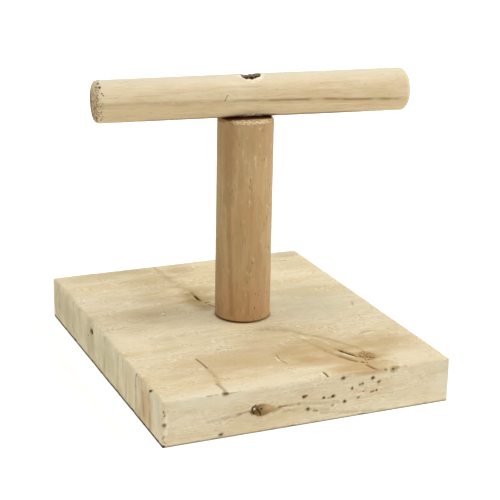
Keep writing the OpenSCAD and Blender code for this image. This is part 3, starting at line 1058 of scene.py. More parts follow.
@dataclass(frozen=True)
class FleckedPost:
    """Raw reddish hardwood: fine grain up the post, short dark flecks, pale rays and a torn pale rim."""

    middle: Point
    top: float
    bar_turn: float = math.radians(BAR_TURN_DEG)
    warm: Tint = tint(202, 175, 127)
    red: Tint = tint(194, 158, 110)
    low: Tint = tint(212, 167, 122)
    olive: Tint = tint(176, 150, 98)
    deep: Tint = tint(156, 120, 78)
    fleck: Tint = tint(112, 78, 44)
    torn: Tint = tint(236, 212, 172)
    # Colour of the painted shade on the post's top under the bar
    shade: Tint = tint(116, 62, 34)

    def make(self) -> Material:
        """Builds the material.

        Returns:
            The finished material.
        """
        s = Shade("flecked_post")
        at = s.place(self.middle)
        x, y, z = s.parts(at)
        wave = s.noise(at, (26, 26, 150), 1) * 7
        turn = ((x * 0.86 + y * 0.5 + wave) / 5.2).part()
        late = turn.step(0.3, 0.85) * turn.step(1, 0.9)
        streak = s.noise(at, (1.5, 1.5, 26), 3, 0.6)
        fibre = s.noise(at, (0.5, 0.5, 7), 2, 0.6)
        mottle = s.noise(at, (3.6, 3.6, 15), 2, 0.6)
        tone = s.paint(
            self.warm,
            (s.noise(at, (12, 12, 45)).step(0.3, 0.7), self.red),
            (z, 70, 34, 0.8, self.low),
            (z, self.top - 40, self.top - 10, 0.45, tint(174, 138, 96)),
            (x * 0.917 - y * 0.398, 4, 13, 0.34, tint(174, 150, 110)),
            (mottle, 0.5, 0.68, 0.55, self.olive),
            (mottle, 0.46, 0.3, 0.3, self.red),
            (late * 0.1, self.deep),
            (streak, 0.52, 0.78, z.step(80, 50) * -0.2 + 0.4, self.deep),
            (fibre, 0.55, 0.8, 0.3, self.deep),
            *self._bands(s, at, streak),
        )
        bent = s.vector("ADD", at, s.join(mottle * 5, mottle * 5, 0))
        gate = s.noise(at, (5, 5, 14), 1).step(0.46, 0.6)
        flecks = (s.cells(bent, (1.4, 1.4, 5.4)) + fibre * 0.12).step(0.34, 0.14) * gate
        tone = s.paint(
            tone,
            (flecks * 0.66, self.fleck),
            (s.cells(bent, (1.5, 1.5, 4.6)), 0.68, 0.88, gate * 0.24 + 0.08, self.torn),
            # Painted shade: the post's left side darker, away from the light
            (x * -0.917 + y * 0.398, 5, 16, 0.32, tint(150, 124, 84)),
        )
        tone, torn = self._top(s, at, tone)
        # Painted contact shadow: a dark line round the post's foot, strongest at the left
        foot = z.step(self.top - 116, self.top - 116.8)
        tone = s.paint(tone, (foot * (x.step(9, -14) * 0.33 + 0.62), tint(88, 56, 10)))
        height = streak * 0.5 + fibre * 0.6 - flecks * 1.3 + torn * 0.8
        return s.finish(tone, fibre * 0.15 + 0.6, 0.15, height, 0.1)

    def _bands(self, s: Shade, at: Sock, streak: Sock) -> list[tuple[Any, ...]]:
        """The dark band down the left of the front, an orange strip beside it, a low streak and a split.

        Args:
            s: The material.
            at: Where it is read.
            streak: Noise that makes the bands wander.

        Returns:
            Layers to paint.
        """
        wander = streak * 3 - 1.5
        orange, low = tint(184, 144, 86), tint(158, 110, 64)
        return [
            (s.rod(at, (-13.2, -9, 144), (-13.5, -8.6, 96)) + wander, 5.2, 1.2, 0.6, self.deep),
            (s.rod(at, (-15.6, -3.6, 142), (-15.6, -3.6, 122)) + wander * 0.4, 2.4, 0.6, 0.4, orange),
            (s.rod(at, (-13.2, -9, 92), (-11.6, -11.1, 30)) + wander * 0.6, 2.4, 0.4, 0.45, low),
            (s.rod(at, (-3.5, -15.6, 44), (-2.8, -15.8, 30)) + wander * 0.3, 0.9, 0.2, 0.3, self.deep),
        ]

    def _top(self, s: Shade, at: Sock, tone: Sock) -> tuple[Sock, Sock]:
        """Paints the torn pale rim, ragged and only where the saw broke out, and painted shade: the top
        arris darker at the left and the top darker below the bar.

        Args:
            s: The material.
            at: Where it is read.
            tone: The colour below.

        Returns:
            The painted colour and the mask of the torn rim.
        """
        x, y, z = s.parts(at)
        broken = s.noise(at, (1.3, 1.3, 0.9), 2, 0.6)
        facing = (x * 0.919 - y * 0.394).step(-9.5, -5.5)
        torn = z.step(self.top - 1.9, self.top - 1) * broken.step(0.42, 0.54) * facing
        off = abs(y * math.cos(self.bar_turn) - x * math.sin(self.bar_turn)) + broken * 1.6 - 0.8
        tone = s.paint(
            tone,
            (torn * 0.85, self.torn),
            # Painted shade: the top arris darker on the side away from the front
            (z.step(self.top - 0.9, self.top - 0.3) * (1 - facing) * 0.6, self.deep),
            # Painted shade on the top face in the gap under the bar
            (off.step(10.2, 8.8) * z.step(self.top - 0.6, self.top - 0.2) * 0.95, self.shade),
        )
        return tone, torn


@dataclass(frozen=True)
class PaleDowel:
    """Raw pale dowel: straight fibres along the bar, one long dark line, ticks, and pitted ends."""

    middle: Point
    turn_deg: float
    radius: float
    ends: Pair
    hole: float
    pale: Tint = tint(228, 210, 174)
    straw: Tint = tint(216, 193, 150)
    late: Tint = tint(184, 154, 104)
    tan: Tint = tint(202, 176, 128)
    line: Tint = tint(142, 108, 62)
    # Near-black tone of the painted shade inside the screw hole
    inside: Tint = tint(50, 22, 8)
    flesh: Tint = tint(214, 170, 138)
    pits: tuple[Tint, ...] = (
        (-84.4, -4.4, 11.1, 0.7), (-84, -7.2, 9.5, 0.75), (-85, -7.1, 9.5, 0.6), (-85, -8.7, 8.1, 0.6),
        (-82.4, -10.5, 5.6, 0.35), (-83.1, -9.9, 6.5, 0.35), (-83.8, -11.5, -3.2, 0.45),
        (-85.4, -11.9, -0.4, 0.4),
    )

    def make(self) -> Material:
        """Builds the material.

        Returns:
            The finished material.
        """
        s = Shade("pale_dowel")
        at = s.place(self.middle, self.turn_deg)
        x, y, z = s.parts(at)
        wave = s.noise(at, (110, 18, 18), 1) * 8
        turn = ((z * 0.8 - y * 0.42 + x * 0.022 + wave) / 6.5).part()
        late = turn.step(0.3, 0.88) * turn.step(1, 0.93)
        streak = s.noise(at, (24, 1.5, 1.5), 3, 0.6)
        fibre = s.noise(at, (6.5, 0.6, 0.6), 2, 0.6)
        patch = s.noise(at, (30, 10, 10))
        hue = s.noise(at, (18, 5, 5), 1)
        gate = s.noise(at, (22, 6, 6), 1).step(0.48, 0.6)
        flecks = (s.cells(at, (6.5, 1.3, 1.3)) + fibre * 0.1).step(0.24, 0.1) * gate
        beads = s.cells(at, (5, 1.6, 1.6)).step(0.2, 0.08) * s.noise(at, (14, 5, 5), 1).step(0.54, 0.62)
        tone = s.paint(
            self.pale,
            (patch.step(0.3, 0.72), self.straw),
            (late * 0.1, self.late),
            (z, 0.5, -3.5, patch * 0.3 + 0.3, self.tan),
            (streak, 0.54, 0.74, 0.42, self.late),
            (streak, 0.46, 0.26, 0.4, CREAM.value),
            (fibre, 0.54, 0.72, 0.42, self.late),
            (fibre, 0.42, 0.26, 0.34, CREAM.value),
            (hue, 0.54, 0.68, 0.3, tint(222, 192, 158)),
            (hue, 0.46, 0.32, 0.26, tint(208, 200, 152)),
            (abs(z + 3).step(7, 2) * x.step(-4, -46) * 0.34, tint(198, 174, 128)),
            # Painted light: the upper half of the bar lighter, as lit from above
            (z, 2, 9.5, 0.3, tint(234, 222, 198)),
            (z, 8.6, 11.4, 0.5, tint(212, 208, 190)),
            (self._front_line(s, at, streak, fibre), self.line),
            (flecks * 0.45, self.line),
            (beads * 0.45, CREAM.value),
            *self._nick(s, at),
            # Painted shade: the lower half of the bar darker
            (z, -4, -8.5, 0.24, tint(176, 164, 142)),
            # Painted shade: a dark line along the underside, fading towards the ends
            (z.step(-9.3, -10.9) * (abs(x) - 82).step(0, -34) * 0.8, tint(120, 100, 70)),
            # Painted shade on the underside where the bar sits over the post
            (z.step(-8.6, -10.6) * abs(x).step(19, 13) * 0.8, tint(132, 66, 34)),
        )
        tone, pits = self._ends(s, at, tone)
        tone = self._bore(s, at, tone)
        height = streak * 0.5 + fibre * 0.6 + late * 0.2 - flecks * 0.8 - pits * 2
        return s.finish(tone, fibre * 0.15 + 0.66, 0.12, height, 0.1)

    @staticmethod
    def _front_line(s: Shade, at: Sock, streak: Sock, fibre: Sock) -> Sock:
        """Strength of the thin wavy line along the front: faint and broken at the left, plain at the right.

        Args:
            s: The material.
            at: Where it is read.
            streak: Noise that breaks up the soft edge.
            fibre: Noise that breaks up the line.

        Returns:
            The mask.
        """
        x, _, z = s.parts(at)
        sink = x * (x * -0.00012 - 0.0235) + s.noise(at, (26, 400, 400), 1) * 1.5 - 1.2
        near = abs(z - sink) + fibre * 0.5 - 0.25
        gap = s.noise(at, (16, 400, 400), 1).step(0.36, 0.52)
        strong = (x.step(-34, 26) * 0.48 + 0.12) * x.step(90, 83)
        wide = (abs(z - sink + 0.6) + streak * 1.4 - 0.7).step(2.6, 0.4) * 0.16
        return near.step(1.25, 0.1) * (gap * 0.85 + 0.15) * strong + wide

    def _nick(self, s: Shade, at: Sock) -> list[tuple[Any, ...]]:
        """A small broken nick in the front, left of the post.

        Args:
            s: The material.
            at: Where it is read.

        Returns:
            Layers to paint.
        """
        lower = s.rod(at, (-15.7, -11.9, -0.3), (-15.2, -11.8, 1))
        upper = s.rod(at, (-14.7, -11.7, 1.9), (-14, -11.6, 2.9))
        nick = lower.least(upper) + (s.noise(at, 0.9, 1) * 0.7 - 0.35)
        return [(nick, 1.4, 0.7, 0.15, CREAM.value), (nick, 0.6, 0.15, 0.7, self.line)]

    def _past(self, x: Sock, left: float, right: float) -> Sock:
        """How far a place lies past a line drawn in from each end."""
        return (self.ends[0] + left - x).most(x - self.ends[1] + right)

    def _ends(self, s: Shade, at: Sock, tone: Sock) -> tuple[Sock, Sock]:
        """Paints both sawn ends: brown end grain, greyer towards the back, with open pores at the rounding.

        Args:
            s: The material.
            at: Where it is read.
            tone: The colour below.

        Returns:
            The painted colour and the mask of the pores.
        """
        x, y, z = s.parts(at)
        ends = self._past(x, 1.5, 1.1).step(0, 0.9)
        skirt = self._past(x, 4.6, 2.4).step(0, 2.4)
        cloud = s.noise(at, (1.6, 1.6, 1.1), 2, 0.65)
        end_tone = s.mix(cloud.step(0.43, 0.56), tint(214, 182, 134), tint(122, 86, 38))
        end_tone = s.paint(end_tone, (z, 3, 7.5, 0.6, tint(220, 204, 164)))
        pits = [s.vector("DISTANCE", at, (px, py, pz)).step(r * 1.7, r * 0.9) for px, py, pz, r in self.pits]
        pore = s.cells(at, (1.2, 1.8, 1.1)).step(0.46, 0.26) * s.noise(at, 3, 1).step(0.36, 0.5)
        open_pores = reduce(Sock.most, [*pits, pore * self._past(x, 3.8, 1.8).step(0, 0.8) * 0.7])
        chips = s.cells(s.vector("ADD", at, (0.7, 1.1, 0.8)), (1.5, 2, 1.2)).step(0.36, 0.2)
        tone = s.paint(
            tone,
            (ends * 0.9, end_tone),
            (ends * (y - z * 0.2).step(3.5, 6.5) * 0.8, tint(98, 90, 58)),
            (skirt * cloud.step(0.52, 0.66) * z.step(4, -3) * 0.6, tint(142, 106, 54)),
            (open_pores * 0.9, tint(84, 62, 22)),
            (chips * skirt * 0.6, CREAM.value),
        )
        return tone, open_pores

    def _bore(self, s: Shade, at: Sock, tone: Sock) -> Sock:
        """Paints the sunk hole: a near-black wall of painted shade with torn lighter fibres, and a bruised
        mouth.

        Args:
            s: The material.
            at: Where it is read.
            tone: The colour below.

        Returns:
            The painted colour.
        """
        x, y, z = s.parts(at)
        x = x - self.hole
        reach = (y * y + z * z).root()
        bore = (x * x + y * y).root()
        sunk = reach.step(self.radius - 0.4, self.radius - 1.6) * bore.step(9, 8.2)
        ragged = s.noise(at, (1.3, 1.3, 1.7), 2, 0.6)
        # The wall's near-black tone is painted shade inside the hole
        wall = s.mix(ragged.step(0.49, 0.56), self.inside, self.flesh)
        wall = s.paint(wall, (x.step(-1.4, -3.6) * ragged.step(0.36, 0.5) * 0.85, tint(250, 222, 190)))
        bruise = bore.step(8, 6) * z.step(0, 6) * (1 - sunk)
        lip = bore.step(8.7, 7.6) * (1 - sunk) * ragged.step(0.4, 0.48) * y.step(0, -3)
        return s.paint(
            tone,
            (sunk * 0.95, wall),
            (bruise * ragged.step(0.5, 0.62) * 0.5, RUST.value),
            (lip, CREAM.value),
            (bruise * ragged.step(0.42, 0.3) * 0.5, CREAM.value),
        )


@dataclass(frozen=True)
class TornFibre:
    """Splintered wood: lengthways streaks between two tones."""

    name: str
    light: Tint
    dark: Tint

    def make(self) -> Material:
        """Builds the material.

        Returns:
            The finished material.
        """
        s = Shade(self.name)
        streak = s.noise(s.place(), 1.2, 3, 0.65)
        tone = s.mix(streak.step(0.44, 0.54), self.light, self.dark)
        return s.finish(tone, streak * 0.2 + 0.6, 0.25, streak, 0.08)


@dataclass(frozen=True)
class ZincPlate:
    """Zinc-plated steel: cool grey metal, softly cloudy, with fine turning lines round the screw."""

    bright: Tint = tint(206, 208, 212)
    dull: Tint = tint(150, 152, 158)

    def make(self) -> Material:
        """Builds the material.

        Returns:
            The finished material.
        """
        s = Shade("zinc_plate")
        at = s.place()
        cloudy = s.noise(at, 2.6, 3, 0.6)
        tone = s.mix(cloudy.step(0.35, 0.7), self.bright, self.dull)
        s.bump(s.noise(at, (3, 3, 0.12), 1) * 0.5 + cloudy * 0.5, 0.02)
        s.set(Base_Color=tone, Metallic=1, Roughness=cloudy * 0.25 + 0.28)
        return s.material


@dataclass(frozen=True)
class StudioFloor:
    """Matt white floor, lit from behind like a light table, except close under the board."""

    middle: Point
    half: Pair
    white: Tint = tint(240, 240, 240)
    warm: Tint = tint(236, 236, 237)
    shine_near: float = 0.26
    shine_far: float = 0.7
    swell: float = 0.6

    def make(self) -> Material:
        """Builds the material.

        Returns:
            The finished material.
        """
        s = Shade("studio_floor")
        at = s.place(self.middle)
        x, y, _ = s.parts(at)
        away = (abs(x) - self.half[0]).most(abs(y) - self.half[1])
        share = self.shine_near / self.shine_far
        # The glow swells within 14 mm of the board's edges: painted light that washes out the board's shadow
        # on the floor
        swell = away.step(14, 0) * self.swell + away.step(40, 320) * (1 - share) + share
        glow = s.mix(away.step(-0.6, -0.2) * swell, (0, 0, 0, 1), (1, 1, 1, 1))
        s.set(Base_Color=s.mix(s.noise(at, 160), self.white, self.warm), Roughness=0.9)
        s.set(Specular_IOR_Level=0.1, Emission_Color=glow, Emission_Strength=self.shine_far)
        return s.material


# Pieces


def settle(piece: Piece, material: Material, node: str | None = None) -> None:
    """Gives a piece its material, its body and the solid that it stands for.

    Args:
        piece: The new piece.
        material: Its finish.
        node: The solid that it replaces, if any.
    """
    piece.data.materials.append(material)
    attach(piece, "root")
    if node is not None:
        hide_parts(node)
    LOG.info("%s: %d faces", piece.name, len(piece.data.polygons))


def rim_loop(rows: tuple[int, int], columns: tuple[int, int]) -> tuple[Grid, Grid]:
    """Row and column numbers of the points round a block of a grid, once round.

    Args:
        rows: First and last row of the block.
        columns: First and last column.

    Returns:
        The rows and the columns.
    """
    r = np.arange(rows[0], rows[1] + 1)
    c = np.arange(columns[0], columns[1] + 1)
    row = np.concatenate([r[:-1], np.full(len(c) - 1, r[-1]), r[:0:-1], np.full(len(c) - 1, r[0])])
    column = np.concatenate([np.full(len(r) - 1, c[0]), c[:-1], np.full(len(r) - 1, c[-1]), c[:0:-1]])
    return row, column


def block_ends(places: Grid, middle: float, half: float) -> tuple[int, int]:
    """Numbers of the lines of a grid between which a block about a middle lies."""
    return int(np.searchsorted(places, middle - half)), int(np.searchsorted(places, middle + half))


@dataclass
class ScrewHole:
    """A drilled hole for a countersunk screw: its sink bore, the seat of the head and the way through."""

    sink_r: float = 6
    sink_deep: float = 5
    head_r: float = 4.55
    head_rim: float = 0.5
    way_r: float = 2.55

    def profile(self, through: float) -> list[Pair]:
        """Radius and depth along the wall, from the floor of the sink bore to the far mouth.

        Args:
            through: Depth of the far mouth.

        Returns:
            The points.
        """
        cone = self.head_r - self.way_r
        rim_low = self.sink_deep + self.head_rim
        seat = [
            (self.sink_r, self.sink_deep),
            ((self.sink_r + self.head_r) / 2, self.sink_deep),
            (self.head_r, self.sink_deep),
            (self.head_r, rim_low),
            (self.head_r - cone / 2, rim_low + cone / 2),
            (self.way_r, rim_low + cone),
        ]
        return seat + [(self.way_r, deep) for deep in np.linspace(rim_low + cone, through, 6)[1:-1]]


@dataclass
class Board:
    """The base: a rounded board with worn arrises, cracks, pin holes and a screw hole underneath."""

    shift: float
    size: Point = BOARD_SIZE
    post: Pair = POST_PLACE
    arris: float = 1.7
    arris_sway: float = 0.28
    arcs: int = 4
    crisp: float = 0.6
    crisp_reach: Pair = (6, 2)
    worn_deep: float = 0.05
    grain_deep: float = 0.035
    bite_deep: float = 0.5
    knot_deep: float = 0.25
    steps: Point = (1.6, 1.6, 0.8)
    fine: float = 0.55
    cut_deep: float = 0.3
    cut_reach: float = 1.6
    hole: ScrewHole = field(default_factory=ScrewHole)
    hole_block: float = 9.5
    spread_rings: int = 7
    bore_rings: int = 5

    def _skin(self, sharp: Grid) -> Grid:
        """Carries points of the sharp board onto the worn one.

        The nearest point c of the board drawn in by the radius r gives the outward way n = (p - c)/|p - c|,
        and the skin lies at c + r n, less the relief along n. The radius is smaller at the right, the back
        and the underside, whose arrises were hardly sanded.

        Args:
            sharp: Points on the faces of the sharp-edged board.

        Returns:
            Points of the same shape, in the frame of the whole perch.
        """
        half = np.array(self.size) / 2
        centre = np.array([0, 0, half[2]])
        q = sharp - centre
        away = np.minimum.reduce([half[0] - q[..., 0], half[1] - q[..., 1], half[2] + q[..., 2]])
        r = self.arris * (1 + self.arris_sway * rough(sharp, (16, 16, 9), 11))
        r = (r * (1 - self.crisp * smooth(*self.crisp_reach, away)))[..., None]
        core = np.clip(q, -half + r, half - r)
        way = (q - core) / np.maximum(np.linalg.norm(q - core, axis=-1, keepdims=True), 1e-9)
        return centre + core + way * (r - self._relief(sharp, half, q)[..., None]) + (self.shift, 0, 0)

    def _relief(self, sharp: Grid, half: Grid, q: Grid) -> Grid:
        """Depth that is worn, cracked or drilled away at each point.

        Wear and grain are noises that are long along X, bites are noise near an arris, and each mark and
        knot adds its depth times a smooth step of the distance to it.

        Args:
            sharp: Points on the faces of the sharp-edged board.
            half: Half of the board's size.
            q: The points about the middle of the board.

        Returns:
            The depth, 0 or more.
        """
        edge = smooth(3.4, 0.4, np.sort(half - np.abs(q), axis=-1)[..., 1])
        worn = self.worn_deep + self.worn_deep * rough(sharp, (70, 26, 14), 21)
        grain = self.grain_deep * rough(sharp, (34, 1.9, 1.9), 31)
        fresh = smooth(*self.crisp_reach, np.minimum(half[0] - q[..., 0], half[1] - q[..., 1]))
        bites = self.bite_deep * smooth(0.34, 0.8, rough(sharp, 3.6, 41)) * edge * (1 - 0.8 * fresh)
        sunk = np.maximum(worn, 0) + np.maximum(grain, -0.02) + bites
        for mark in (m for m in BOARD_MARKS if m.depth > 0):
            away = rod_distance(sharp, mark.path)
            sunk = sunk + mark.depth * smooth(mark.width * 1.05, mark.width * 0.3, away)
        for knot in BOARD_KNOTS:
            off = (sharp - np.array(knot.middle)) / (knot.stretch, 1, 1)
            away = np.linalg.norm(off, axis=-1)
            sunk = sunk + self.knot_deep * smooth(knot.radius * 1.3, knot.radius * 0.5, away)
            sunk = sunk - self.worn_deep * smooth(knot.radius * 2.4, knot.radius * 1.4, away)
        return np.maximum(sunk, 0)

    def _lines(self, axis: int) -> Grid:
        """Places of the grid's lines along an axis: arcs at both arrises, closer lines where marks are cut.

        Args:
            axis: 0, 1 or 2 for X, Y or Z.

        Returns:
            The places, the board's underside being at 0.
        """
        half, step = self.size[axis] / 2, self.steps[axis]
        cuts = [m for m in BOARD_MARKS if m.depth >= self.cut_deep and axis < 2]
        focus = [(point[axis], self.cut_reach) for mark in cuts for point in mark.path]
        low = (self.arris * (1 - np.tan(np.linspace(math.pi / 4, 0, self.arcs + 1))) - half)[:-1]
        inner = graded(-half + self.arris, half - self.arris, step, self.fine, focus)
        return np.concatenate([low, inner, -low[::-1]]) + (half if axis == 2 else 0)

    def make(self) -> Piece:
        """Builds the board's mesh, two grids for each axis and the tunnel of the hole.

        Returns:
            The board.
        """
        lines = [self._lines(axis) for axis in range(3)]
        rows, columns = (block_ends(lines[i], self.post[i], self.hole_block) for i in (0, 1))
        hide = np.zeros((len(lines[0]) - 1, len(lines[1]) - 1), dtype=bool)
        hide[slice(*rows), slice(*columns)] = True
        skin = Skin()
        for axis in (2, 1, 0):
            spans = np.meshgrid(*(lines[i] for i in range(3) if i != axis), indexing="ij")
            for level in (lines[axis][0], lines[axis][-1]):
                face = xyz(*spans[:axis], level, *spans[axis:])
                skin.grid(self._skin(face), hide=hide if axis == 2 else None)
        r, c = rim_loop(rows, columns)
        skin.grid(self._tunnel(xyz(lines[0][r], lines[1][c], 0)), around=True)
        return skin.build("board")

    def _tunnel(self, block: Grid) -> Grid:
        """One grid from the block cut in the underside, through the hole, to the block cut in the top.

        Round each block its points go straight to the circle of the hole, angle for angle.

        Args:
            block: Points round the block in the underside.

        Returns:
            Rings of points.
        """
        angle = np.arctan2(block[:, 1] - self.post[1], block[:, 0] - self.post[0])
        mouth, far = (circle(self.post, radius, angle, 0) for radius in (self.hole.sink_r, self.hole.way_r))
        up = (0, 0, self.size[2])
        bore = np.linspace(0, self.hole.sink_deep, self.bore_rings)[1:-1]
        wall = [(self.hole.sink_r, deep) for deep in bore]
        out, back = np.linspace(0, 1, self.spread_rings), np.linspace(1, 0, self.spread_rings)
        rings = [self._skin(blend(block, mouth, share)) for share in out]
        for radius, deep in wall + self.hole.profile(self.size[2]):
            rings.append(circle(self.post, radius, angle, deep) + (self.shift, 0, 0))
        rings += [self._skin(blend(block, far, share) + up) for share in back]
        return np.stack(rings)


@dataclass
class Post:
    """The post: a round hardwood dowel with a pilot bore in each end and a torn bevel on top."""

    middle: Point
    foot: float
    top: float
    radius: float = 16
    bevel: float = 1.6
    arris: float = 0.8
    pilot_r: float = 2.3
    foot_bore: float = 31.5
    top_bore: float = 29.5
    top_bore_off: Pair = (1.89, -0.195)
    skin_in: float = 0.06
    ridge_deep: float = 0.03
    dent_deep: float = 0.12
    sway: float = 0.05
    tear_deep: float = 0.75
    tear_reach: float = 3
    lift: float = 0.25
    fray: float = 0.14
    clear: float = 0.02
    torn_shares: tuple[float, ...] = (0.3, 0.6, 0.85, 1)
    bore_rings: int = 12
    flat_rings: int = 9
    arris_rings: int = 5
    columns: int = 160
    row_step: float = 0.95

    def _side(self, z: Grid | float, angle: Grid) -> Grid:
        """Radius of the side: that of the dowel, less fine ridges, dents and what is torn off at the top.

        Args:
            z: Heights.
            angle: Angles round the post.

        Returns:
            The radius at each.
        """
        at = circle((0, 0), self.radius, angle, z)
        ridges = self.ridge_deep * rough(at, (1.4, 1.4, 30), 51)
        dents = self.dent_deep * smooth(0.5, 0.85, rough(at, (2.6, 2.6, 7), 61))
        wander = self.sway * rough(at, (22, 22, 60), 71, 1)
        tear = smooth(0.12, 0.62, rough(at, (2.1, 2.1, 60), 81))
        torn = self.tear_deep * tear * smooth(self.top - self.tear_reach, self.top - self.bevel, z)
        return self.radius - self.skin_in + wander + ridges - dents - torn

    def make(self) -> Piece:
        """Builds the post as one grid: rings from the tip of the lower bore, out and up, to the upper one's.

        Returns:
            The post.
        """
        angle = np.linspace(0, TURN, self.columns, endpoint=False)
        rings: list[Grid] = []

        def ring(radius: Grid | float, z: Grid | float, off: Pair = (0, 0)) -> None:
            """Adds one ring of a radius and height, about a centre."""
            rings.append(circle(off, radius, angle, z))

        ring(0, self.foot + self.foot_bore + self.pilot_r)
        for z in np.linspace(self.foot + self.foot_bore, self.foot, self.bore_rings):
            ring(self.pilot_r, z)
        for radius in np.linspace(self.pilot_r, self.radius - self.arris, self.flat_rings)[1:]:
            ring(radius, self.foot)
        for bend in np.linspace(0, math.pi / 2, self.arris_rings)[1:]:
            z = self.foot + self.arris * (1 - math.cos(bend))
            ring(self._side(z, angle) - self.arris * (1 - math.sin(bend)), z)
        round_it = circle((0, 0), self.radius, angle, 0)
        start = self.top - self.bevel * (1 + 0.5 * rough(round_it, 2.4, 91))
        for share in np.linspace(0, 1, int((self.top - self.foot) / self.row_step))[1:]:
            z = blend(self.foot + self.arris, start, share)
            ring(self._side(z, angle), z)
        flat = self.radius - self.bevel
        last = self._side(start, angle)
        fray = self.fray * rough(round_it, 0.8, 95)
        for share in self.torn_shares:
            lift = self.lift * math.sin(math.pi * share)
            ring(blend(last, flat, share), blend(start, self.top, share) + lift * fray - self.clear)
        off = self.top_bore_off
        for share in np.linspace(0, 1, self.flat_rings)[1:]:
            ring(blend(flat, self.pilot_r, share), self.top, (off[0] * share, off[1] * share))
        for z in np.linspace(self.top, self.top - self.top_bore, self.bore_rings)[1:]:
            ring(self.pilot_r, z, off)
        ring(0, self.top - self.top_bore - self.pilot_r, off)
        skin = Skin()
        skin.grid(np.stack(rings) + np.array(self.middle), around=True)
        return skin.build("post_wood")

    def fibres(self, count: int, seed: int) -> Piece:
        """Short torn fibres that stand off the bevel at the top.

        Args:
            count: How many fibres.
            seed: Picks their places.

        Returns:
            One piece of all fibres.
        """
        draw = np.random.default_rng(seed).uniform
        skin = Skin()
        along = np.linspace(0, 1, 5)
        for _ in range(count):
            turn = draw(-2.4, 2.2)
            start = self.top - self.bevel * draw(0.7, 1.5)
            lean = draw(-0.5, 0.5)
            size = draw(0.8, 2)
            bow = self.radius - 0.25 - 0.55 * draw(0.4, 1) * along**1.5
            height = np.minimum(start + size * 0.62 * along, self.top - 0.15)
            path = circle(self.middle, bow, turn + lean * along * size / self.radius, height)
            skin.grid(spike(path, draw(0.1, 0.26)), around=True)
        return skin.build("post_fibres")


